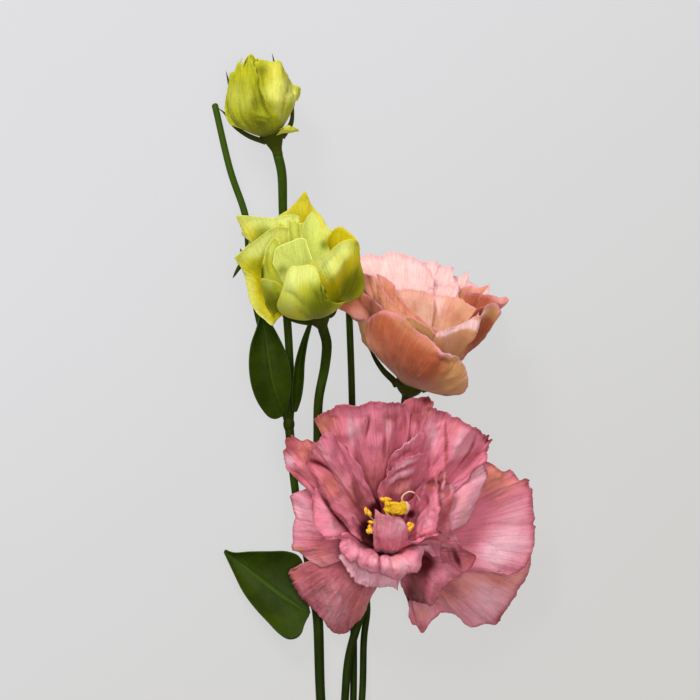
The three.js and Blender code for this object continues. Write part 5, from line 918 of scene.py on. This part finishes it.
class Finish:
    """A material whose nodes are made by one method."""

    def __init__(self, name, **constants):
        self.material = bpy.data.materials.new(name)
        self.material.use_nodes = True
        self.tree = self.material.node_tree
        self.shader = self.tree.nodes["Principled BSDF"]
        for key, value in constants.items():
            self.shader.inputs[key.replace("_", " ")].default_value = value

    def node(self, kind, settings=(), inputs=(), out=0):
        made = self.tree.nodes.new(kind)
        for key, value in dict(settings).items():
            setattr(made, key, value)
        for key, value in dict(inputs).items():
            if isinstance(value, Wire):
                self.tree.links.new(value.socket, made.inputs[key])
            else:
                made.inputs[key].default_value = value
        return Wire(self, made.outputs[out])

    def attributes(self, *names):
        return [self.node("ShaderNodeAttribute", {"attribute_name": name}, out="Fac") for name in names]

    def mix(self, a, b, factor):
        """Colour a turning into colour b as factor goes from 0 to 1."""
        return self.node("ShaderNodeMix", {"data_type": "RGBA"}, {0: factor, 6: a, 7: b}, out=2)

    def layers(self, code, *over):
        """A tone under layers of (tone, how much of it shows)."""
        colour = tone(code)
        for code, factor in over:
            colour = self.mix(colour, tone(code), factor)
        return colour

    def vector(self, x, y, z):
        return self.node("ShaderNodeCombineXYZ", {}, {0: x, 1: y, 2: z})

    def noise(self, place, scale, detail=3.0, roughness=0.55, distortion=0.0):
        inputs = {"Vector": place, "Scale": scale, "Detail": detail, "Roughness": roughness,
                  "Distortion": distortion}
        return self.node("ShaderNodeTexNoise", {}, inputs)

    def place(self):
        return self.node("ShaderNodeTexCoord", {}, out="Object")

    def along(self, axis):
        return self.node("ShaderNodeSeparateXYZ", {}, {0: self.place()}, out=axis)

    def bump(self, height, strength, distance):
        inputs = {"Height": height, "Strength": strength, "Distance": distance}
        return self.node("ShaderNodeBump", {}, inputs)

    def feed(self, **links):
        for key, wire in links.items():
            self.tree.links.new(wire.socket, self.shader.inputs[key.replace("_", " ")])
        return self.material


PINK_GLOW, GREEN_GLOW = (1.0, 0.5, 0.45), (0.7, 1.0, 0.2)
PINK_TONES = SimpleNamespace(body=0xDA788C, warm=0xD47E6A, pale=0xECB6C0, deep=0x9E4C50, dark=0x560E16,
                             throat=0x440A12, rim=0x82343E, vein=0xB0566C)
SALMON_TONES = SimpleNamespace(body=0xD28868, warm=0xC08E58, pale=0xEEC0BC, deep=0xA04E2C, dark=0x703420,
                               throat=0xA88050, rim=0xDB8C98, vein=0xC87C60)
OPENING_TONES = SimpleNamespace(body=0xB2B01E, warm=0xC6B00C, pale=0xCAD070, deep=0x727406, dark=0x404804,
                                throat=0x76740A, rim=0xCCC050, vein=0x9A9C18)
CLOSED_TONES = SimpleNamespace(body=0xA0A116, warm=0xBEB20E, pale=0xD2D062, deep=0x6C6C0A, dark=0x403E02,
                               throat=0x585A06, rim=0xC4C244, vein=0x7A7C08)
STEM_TONES = SimpleNamespace(body=0x262F06, light=0x3A5210, dark=0x101A02, foot=0x101A02, tip=0x1C3003)
CUP_TONES = SimpleNamespace(body=0x2C2E06, light=0x40480A, dark=0x161602, foot=0x2C2E06, tip=0x4A3018)
LEAF_TONES = SimpleNamespace(body=0x243202, light=0x314204, bloom=0x2C3E0C, cell=0x162404, vein=0x405618,
                             under=0x4A6034)
WITHERED = 0xD8AE9A
# A petal's noises from wide to fine: their scale for a metre, detail and roughness
CLOUD, DRIFT, MOTTLE, GRAIN = (70.0, 3.0), (160.0, 3.0, 0.6), (650.0, 4.0, 0.65), (1500.0, 2.0)
# Its lengthwise streaks: how close they are across and along it, how far they shift from petal to petal,
# their roughness and their distortion
STREAK, FINE_STREAK = (0.5, 1.6, 7.3, 0.6, 0.5), (2.6, 4.0, 3.1, 0.65, 0.4)


def petal_finish(name, tones, throat_rise, rim_rise=0.965, rim_share=0.8, glow=PINK_GLOW, gloss=0.2,
                 sheen=0.06, shine_through=0.0, streaky=1.0):
    """The throat's tone fades out above throat_rise, and the rim's starts at rim_rise. streaky scales how
    much the tones vary from root to rim."""
    f = Finish(name, Subsurface_Weight=0.3, Subsurface_Radius=glow, Subsurface_Scale=0.0012,
               Specular_IOR_Level=gloss, Sheen_Weight=sheen, Sheen_Roughness=0.5, Emission_Strength=0.5)
    rise, sweep, part, lit, warm, pale, deep, dark = f.attributes("rise", "sweep", "part", "lit", *KINDS)
    place = f.place()
    cloud, drift, mottle, grain = (f.noise(place, *sizes) for sizes in (CLOUD, DRIFT, MOTTLE, GRAIN))
    streak, fine = (f.noise(f.vector(sweep * across, rise * along, part * shift), 1.0, 4.0, *rest)
                    for across, along, shift, *rest in (STREAK, FINE_STREAK))
    worn = (drift * 1.6 + fine * 0.6 - 0.55).between(0.1, 0.9)
    uneven = (drift.sway(0.4) + fine.sway(0.7) + mottle.sway(0.5)) * streaky
    # Besides the petals' own tones, pale paints highlights, and deep and dark paint shade, where the tables
    # put them
    colour = f.layers(
        tones.body,
        (tones.warm, (warm + drift.sway(0.6)).between(0.05, 1.0)),
        (tones.pale, (pale + streak.sway(streaky) + cloud.sway(0.45)).between(0.0, 1.1)),
        (tones.deep, (deep + uneven).between(0.0, 1.1)),
        (tones.vein, streak.between(0.5, 0.72, 0.18)),
        (tones.vein, fine.between(0.5, 0.66, 0.32)),
        (tones.pale, (1 - fine).between(0.55, 0.75, 0.16)),
        (tones.deep, mottle.between(0.56, 0.75, 0.22) + grain.between(0.55, 0.75, 0.14)),
        (tones.rim, (rise + fine.sway(0.04)).between(rim_rise, 1.0) * worn * rim_share),
        (tones.dark, dark.between(0.0, 1.0)),
        (tones.throat, 1 - (rise + streak.sway(0.14)).between(*throat_rise)))
    height = streak * 0.6 + fine * 0.5 + mottle * 0.35
    # Painted glow: an emission of the petal's colour, as strong as lit and shine_through, stands in for the
    # light shining through and lifts the shade
    f.feed(Emission_Color=f.mix(tone(0x000000), colour, lit + shine_through))
    return f.feed(Base_Color=colour, Roughness=0.46 + mottle * 0.2, Normal=f.bump(height, 0.75, 0.0008))


def green_finish(name, tones, gloss, tip_share=0.0, stretch=(1.0, 1.0, 1.0)):
    """Stems, sepals and cups: darker and lighter streaks, lighter towards the buds and darker towards the
    foot of the spray. stretch draws the streaks out along an axis."""
    f = Finish(name, Specular_IOR_Level=0.04)
    rise, = f.attributes("rise")
    place, along = f.place(), f.along(1)
    grain = f.noise(f.node("ShaderNodeMapping", {}, {"Vector": place, "Scale": stretch}), 900.0)
    patch = f.noise(place, 60.0, 2.0)
    colour = f.layers(
        tones.body,
        (tones.light, patch.between(0.35, 0.75, 0.7)),
        (tones.dark, grain.between(0.45, 0.75, 0.5)),
        (tones.tip, rise.between(0.75, 1.0, tip_share)),
        (tones.light, along.between(0.07, 0.12, 0.6)),
        (tones.foot, (1 - along.between(-0.08, 0.04)) * 0.7))
    return f.feed(Base_Color=colour, Roughness=gloss + grain * 0.2, Normal=f.bump(grain, 0.25, 0.0003))


def leaf_finish():
    f = Finish("waxy_leaf", Specular_IOR_Level=0.07, Subsurface_Weight=0.05, Subsurface_Scale=0.0008)
    rise, side, upper, vein = f.attributes("rise", "side", "upper", "vein")
    patch = f.noise(f.place(), 110.0)
    cells = f.noise(f.place(), 1600.0, 2.0)
    bloom = f.noise(f.vector(side * 3.0, rise * 4.0, 0.0), 1.3)
    colour = f.layers(
        LEAF_TONES.body,
        (LEAF_TONES.light, patch.between(0.35, 0.7)),
        (LEAF_TONES.bloom, bloom.between(0.45, 0.75, 0.6)),
        (LEAF_TONES.cell, cells.between(0.5, 0.8, 0.35)),
        (LEAF_TONES.vein, vein.between(0.25, 0.9, 0.45)))
    colour = f.mix(tone(LEAF_TONES.under), colour, upper * 0.8 + 0.2)
    height = cells * 0.3 + patch * 0.4 - vein * 0.5
    return f.feed(Base_Color=colour, Roughness=0.38 + cells * 0.2, Normal=f.bump(height, 0.3, 0.0004))


def pollen_finish(name, body, light, dark, grain_scale):
    f = Finish(name, Specular_IOR_Level=0.25, Subsurface_Weight=0.1, Subsurface_Scale=0.0008)
    bare, = f.attributes("bare")
    grain = f.noise(f.place(), grain_scale)
    patch = f.noise(f.place(), 500.0, 2.0)
    colour = f.layers(
        body,
        (light, grain.between(0.4, 0.7)),
        (dark, patch.between(0.5, 0.8, 0.6)),
        (WITHERED, bare))
    return f.feed(Base_Color=colour, Roughness=0.6 + grain * 0.2, Normal=f.bump(grain, 0.6, 0.0004))


# The corollas

def corolla(key, flower, names=None, ruffled=1.0):
    """The petals with these names, or all. Each draws its own creases, whichever are asked for."""
    parts = []
    for number, (name, petal) in enumerate(flower.petals.items()):
        if names is None or name in names:
            parts.append(build_petal(flower, petal, np.random.default_rng([number, len(key)]), ruffled))
    return gather(parts)


INNER_PINK = ("top", "upper_left", "middle_small", "middle_right", "inner_a", "inner_b", "lip", "left_fold")
LOW_PINK = ("lower_right", "lower_shaded", "lower_left", "left", "lip_back", "side_fold")
OUTER_PINK = [name for name in PINK.petals if name not in INNER_PINK + LOW_PINK]
pink_finish = petal_finish("pink_petal", PINK_TONES, (0.16, 0.44), sheen=0.02)
for where, petal_names in (("inner", INNER_PINK), ("outer", OUTER_PINK), ("lower", LOW_PINK)):
    make_piece("pink_" + where + "_petals", corolla("pink", PINK, petal_names), pink_finish,
               ["pink_corolla"])
salmon_finish = petal_finish("salmon_petal", SALMON_TONES, (0.05, 0.3), 0.94, streaky=0.4)
make_piece("salmon_petals", corolla("salmon", SALMON, ruffled=0.5), salmon_finish, ["salmon_corolla"])
opening_finish = petal_finish("green_petal", OPENING_TONES, (0.0, 0.3), 0.95, 0.6, GREEN_GLOW, gloss=0.12,
                              sheen=0, shine_through=0.09, streaky=0.5)
make_piece("opening_petals", corolla("opening", OPENING, ruffled=0.18), opening_finish, ["opening_corolla"])
closed_finish = petal_finish("bud_petal", CLOSED_TONES, (0.0, 0.35), 0.95, 0.6, GREEN_GLOW, gloss=0.1,
                             sheen=0, shine_through=0.06, streaky=0.7)
make_piece("closed_petals", corolla("closed", CLOSED, ruffled=0.6), closed_finish, ["closed_corolla"])


# Calyces: a cup round the foot of the corolla, its narrow sepals and the stalk below it

CUP_SIDES, CUP_STEPS, CUP_HEIGHTS = 28, 24, (-6.4, -4.6, -2.4, -0.6, 0.6)
STALK_RADIUS, STALK_FLARE, HIP_SHARE, THROAT_SHARE = 1.5, 0.2, 0.8, 1.3
# Where a sepal starts on the axis and inside the cup's edge, its radii, how flat it is and its girth
SEPAL_FOOT, SEPAL_SUNK, SEPAL_RADII, SEPAL_FLAT = -1.4, 0.5, (1.1, 1, 0.75, 0.25), 0.45
SEPAL_GIRTH = {"pink": 1.0, "salmon": 1.0, "opening": 0.85, "closed": 0.8}
PEDICEL_TOP, PEDICEL_RADII = -3.5, (1.6, 1.4)


def cup(flower, radii, heights):
    n, e1, e2 = axis_frame(flower.axis)
    a = np.linspace(0, 2 * math.pi, CUP_SIDES, endpoint=False)
    radius, height, _ = evenly([(r, h, 0) for r, h in zip(radii, heights)], CUP_STEPS).T[..., None, None]
    spokes = e1 * np.cos(a)[:, None] + e2 * np.sin(a)[:, None]
    rings = np.array(flower.seat)[None, None] + n * height + spokes[None] * radius
    return lathe(rings, rings[0].mean(0), rings[-1].mean(0), np.zeros(len(rings)))


def calyx(key, flower, wall=1.6, pedicel=None):
    """A flower's cup with its sepals, and its pedicel where the cup doesn't sit on a stem."""
    outer = flower.throat * THROAT_SHARE + wall
    radii = (STALK_RADIUS, STALK_RADIUS + STALK_FLARE, outer * HIP_SHARE, outer, outer)
    parts = [cup(flower, radii, CUP_HEIGHTS)]
    radii = [SEPAL_GIRTH[key] * radius for radius in SEPAL_RADII]
    for degrees, points in SEPALS[key]:
        start = on_axis(flower, SEPAL_FOOT, degrees, outer - SEPAL_SUNK)
        parts.append(stalk([start, *points], radii, 12, 0.8, flat=SEPAL_FLAT, round_end=True))
    if pedicel:
        parts.append(stalk([on_axis(flower, PEDICEL_TOP), *pedicel], PEDICEL_RADII, 20, 0.8))
    return gather(parts)


cup_finish = green_finish("calyx_green", CUP_TONES, 0.45, tip_share=0.3)
for key, flower, options in (("pink", PINK, {"pedicel": [(3.2, -13.5, 4.4), (0.9, -17.6, 3.7)]}),
                             ("salmon", SALMON, {}), ("opening", OPENING, {"wall": 1.1}),
                             ("closed", CLOSED, {"wall": 0.9})):
    make_piece(key + "_calyx_cup", calyx(key, flower, **options), cup_finish, [key + "_calyx"])


# Stamens and pistil of the pink bloom

ANTHERS = [(-2.5, 1.4, 28), (-1.7, -3.6, 28), (-0.2, -0.9, 28.5), (10.5, -2.6, 29.5), (3.4, 4.8, 28.4)]
FILAMENT_RADII = (0.4, 0.35, 0.3)
# How many pollen sacs an anther has, how far they lie apart, and their turns, half axes and knots
SACS, SAC_SPREAD, SAC_TURN = 4, 0.9, 50
SAC_LENGTH, SAC_WIDTH, SAC_HEIGHT, SAC_KNOTS = (0.8, 1.3), (0.55, 0.8), 0.6, 0.16
STYLE_RADII, LOBE_KNOTS = (0.9, 0.9, 0.6, 0.5, 0.6), 0.22
STIGMA = (6.3, 3.2, 31)
# Places beside the stigma, half axes and turns of its lobes
STIGMA_LOBES = [((-2.3, 0.8, 0.3), (0.9, 1.2, 0.8), 25), ((-1.4, -0.6, 0.1), (1.9, 1.5, 0.8), 15),
                ((0.9, -0.9, 0.2), (2.1, 1.6, 0.8), -8), ((2.5, 0.2, 0.1), (1.2, 1.7, 0.8), 20),
                ((0.4, 0.5, 0.0), (2.4, 1.0, 0.7), -6), ((-2.6, -1.0, -0.1), (0.8, 1.2, 0.7), 10)]
WITHERED_LOBE = ([(9, 1.5, 30), (10.2, 3.4, 31), (9.6, 5, 31.5)], (1.1, 0.9, 0.4))
WITHERED_THREAD = ([(8.6, 4.6, 31), (8.4, 6.3, 31.8), (10.6, 8, 32.2), (12.6, 7.2, 32), (14.2, 4.6, 31)],
                   (0.35, 0.3, 0.3, 0.25, 0.15))


def bare_stalk(*shape, **options):
    """A stalk without pollen on it."""
    points, faces, values = stalk(*shape, **options)
    return points, faces, {**values, "bare": np.ones(len(points))}


def stamens():
    """Each anther is a knotted cluster of pollen sacs across the end of its filament."""
    rng = np.random.default_rng(5)
    parts = []
    for x, y, z in ANTHERS:
        turn = math.degrees(math.atan2(y - PINK.seat[1] - 6, x - PINK.seat[0]))
        path = [on_axis(PINK, 2.9, turn, 1.65), on_axis(PINK, 12, turn, 2.3), (x, y, z)]
        parts.append(bare_stalk(path, FILAMENT_RADII, 10, 0.8))
        angle = rng.uniform(0, 180)
        for _ in range(SACS):
            dx, dy, dz = rng.uniform(-SAC_SPREAD, SAC_SPREAD, 3)
            size = (rng.uniform(*SAC_LENGTH), rng.uniform(*SAC_WIDTH), SAC_HEIGHT)
            sac_turn = angle + rng.uniform(-SAC_TURN, SAC_TURN)
            parts.append(bead((x + dx, y + dy, z + 0.5 * dz), size, sac_turn, rng, SAC_KNOTS))
    return gather(parts)


def pistil():
    """A broad saddle of yellow lobes, with its pale withered lobe and a curled filament beside it."""
    rng = np.random.default_rng(6)
    path = [on_axis(PINK, 2.6), on_axis(PINK, 8.6), on_axis(PINK, 17), STIGMA]
    parts = [stalk(path, STYLE_RADII, 14, 0.8)]
    for off, size, turn in STIGMA_LOBES:
        parts.append(bead(np.add(STIGMA, off), size, turn, rng, LOBE_KNOTS))
    for curl, radii in (WITHERED_LOBE, WITHERED_THREAD):
        parts.append(bare_stalk(curl, radii, 10, 0.5, round_end=True))
    return gather(parts)


make_piece("pink_anthers", stamens(), pollen_finish("anther_pollen", 0xE0A020, 0xF4C84A, 0xA86810, 2600.0),
           ["pink_stamens"])
make_piece("pink_stigma", pistil(), pollen_finish("stigma_velvet", 0xCC9C00, 0xE2BA2C, 0x8E6800, 3400.0),
           ["pink_pistil"])


# Stems, with their swollen nodes and the bracts on the cut side shoot

NODES = [((-11.8, -115.6, 2.3), 2.2), ((-18.3, -27.3, 3.2), 1.9), ((-26.8, 28.8, 5), 1.8)]
BRACTS = [
    [(-39, 79.6, 6.6), (-41.5, 78.4, 8), (-44.3, 74.1, 9)],
    [(-39.3, 79.4, 6.6), (-41, 81, 8), (-41.9, 83.5, 8.5)],
]
BRACT_RADII, BRACT_FLAT = (0.9, 0.75, 0.2), 0.5
# How far the stems' ribs stand out, and how uneven their nodes are
BARK = 0.02


def stems():
    rng = np.random.default_rng(7)
    parts = [stalk(points, radii, 20, 1.5, ribs=BARK) for points, radii in STEMS.values()]
    parts += [bead(centre, (r, 1.5 * r, r), 0, rng, BARK) for centre, r in NODES]
    parts += [stalk(points, BRACT_RADII, 12, 0.8, flat=BRACT_FLAT, round_end=True) for points in BRACTS]
    points, radii = STEMS["cut_shoot"]
    parts.append(bead(points[-1], (radii[-1], 0.8 * radii[-1], radii[-1]), 15, rng, BARK))
    return gather(parts)


stem_finish = green_finish("stem_green", STEM_TONES, 0.42, stretch=(1.0, 0.12, 1.0))
make_piece("branching_stem", stems(), stem_finish, ["stem"])


# Leaves

LEAF_ROWS, LEAF_COLS, LEAF_HALF, LEAF_THINNING = 70, 36, 0.28, 0.4
# The midrib's width, how many side veins there are, their slant, how sharp they are and how strong
RIB_WIDTH, VEINS, VEIN_SLANT, VEIN_SHARPNESS, VEIN_SHARE = 0.035, 7, 2.2, 12, 0.55
# How deep the veins are pressed in, at most and for the leaf's width, and the shares of the two kinds
VEIN_DEPTH, VEIN_DEPTH_SHARE, RIB_PRESS, VEIN_PRESS = 0.35, 0.04, 0.8, 0.35


def leaf(left, rib, right):
    """A blade between two edges that folds at its midrib, with side veins pressed into it."""
    a, m, b = (evenly(points, LEAF_ROWS)[:, None] for points in (left, rib, right))
    s, t = np.meshgrid(np.linspace(0, 1, LEAF_ROWS + 1), np.linspace(0, 1, LEAF_COLS + 1), indexing="ij")
    w = t[..., None]
    p = a * (1 - w) + b * w + (m - (a + b) / 2) * 4 * w * (1 - w)
    off = np.abs(t - 0.5) * 2
    rib_line = bell((t - 0.5) / RIB_WIDTH)
    comb = np.sin(2 * math.pi * (VEINS * s - VEIN_SLANT * off))**VEIN_SHARPNESS
    slant = comb * np.clip(off * 4, 0, 1) * (1 - off)**0.5
    normal = grid_normals(p)
    depth = np.minimum(VEIN_DEPTH, VEIN_DEPTH_SHARE * np.linalg.norm(b - a, axis=-1))
    p = p - normal * (depth * (RIB_PRESS * rib_line + VEIN_PRESS * slant))[..., None]
    values = {"rise": s, "side": t, "vein": np.clip(rib_line + VEIN_SHARE * slant, 0, 1)}
    return blade(p, normal * (LEAF_HALF * (1 - LEAF_THINNING * off))[..., None], values)


waxy = leaf_finish()
for leaf_name, curves in LEAVES.items():
    make_piece(leaf_name + "_blade", leaf(*curves), waxy, [leaf_name])


# Table, light and camera

TABLE_SIDE = 6.0


def table_finish():
    """A pale smooth surface, a little brighter towards the lamp. Its own faint glow keeps shadows soft."""
    f = Finish("pale_table", Roughness=0.95, Specular_IOR_Level=0.0, Emission_Strength=1.0)
    lit = (0.42 - f.along(0) * 1.6 + f.along(1) * 2.0).between(0.0, 1.0)
    drift = f.noise(f.place(), 6.0, 2.0)
    glow = f.mix(tone(0xC5C4C0), tone(0xD6D6D9), lit + drift.sway(0.15))
    return f.feed(Base_Color=f.mix(tone(0x404040), tone(0x444446), drift), Emission_Color=glow)


mesh = bpy.data.meshes.new("table_top")
half = TABLE_SIDE / 2
mesh.from_pydata([(-half, -half, 0), (half, -half, 0), (half, half, 0), (-half, half, 0)], [], [(0, 1, 2, 3)])
mesh.materials.append(table_finish())
table = add_object("table_top", mesh)


def soft_light(name, place, target, size, power):
    """A round lamp at place that shines towards target."""
    data = bpy.data.lights.new(name, "AREA")
    data.shape, data.size, data.energy = "DISK", size, power
    lamp = add_object(name, data)
    lamp.location = place
    to = unit(np.array(target) - np.array(place))
    lamp.rotation_euler = (math.acos(-to[2]), 0, math.atan2(-to[0], to[1]))


soft_light("key_light", (-0.7, 1.5, 1.3), (0, 0.05, 0), 0.7, 40.0)
soft_light("fill_light", (0.3, 0.1, 2.2), (0, 0.05, 0), 0.9, 24.0)

world = bpy.data.worlds.new("studio")
world.use_nodes = True
world.node_tree.nodes["Background"].inputs["Color"].default_value = tone(0xE0E1E3)
world.node_tree.nodes["Background"].inputs["Strength"].default_value = 0.4
bpy.context.scene.world = world
bpy.context.scene.view_settings.view_transform = "Standard"

VIEW_CENTRE = (-7.75, 51.8)
VIEW_WIDTH, VIEW_LEVEL, VIEW_DISTANCE, SENSOR = 217.0, 25.0, 4000.0, 36.0
camera_data = bpy.data.cameras.new("camera")
camera_data.sensor_width = SENSOR
camera_data.lens = SENSOR * VIEW_DISTANCE / VIEW_WIDTH
camera_data.clip_start, camera_data.clip_end = 0.05, 20.0
camera = add_object("camera", camera_data)
camera.location = (VIEW_CENTRE[0] * MM, VIEW_CENTRE[1] * MM, (VIEW_LEVEL + VIEW_DISTANCE) * MM)
bpy.context.scene.camera = camera
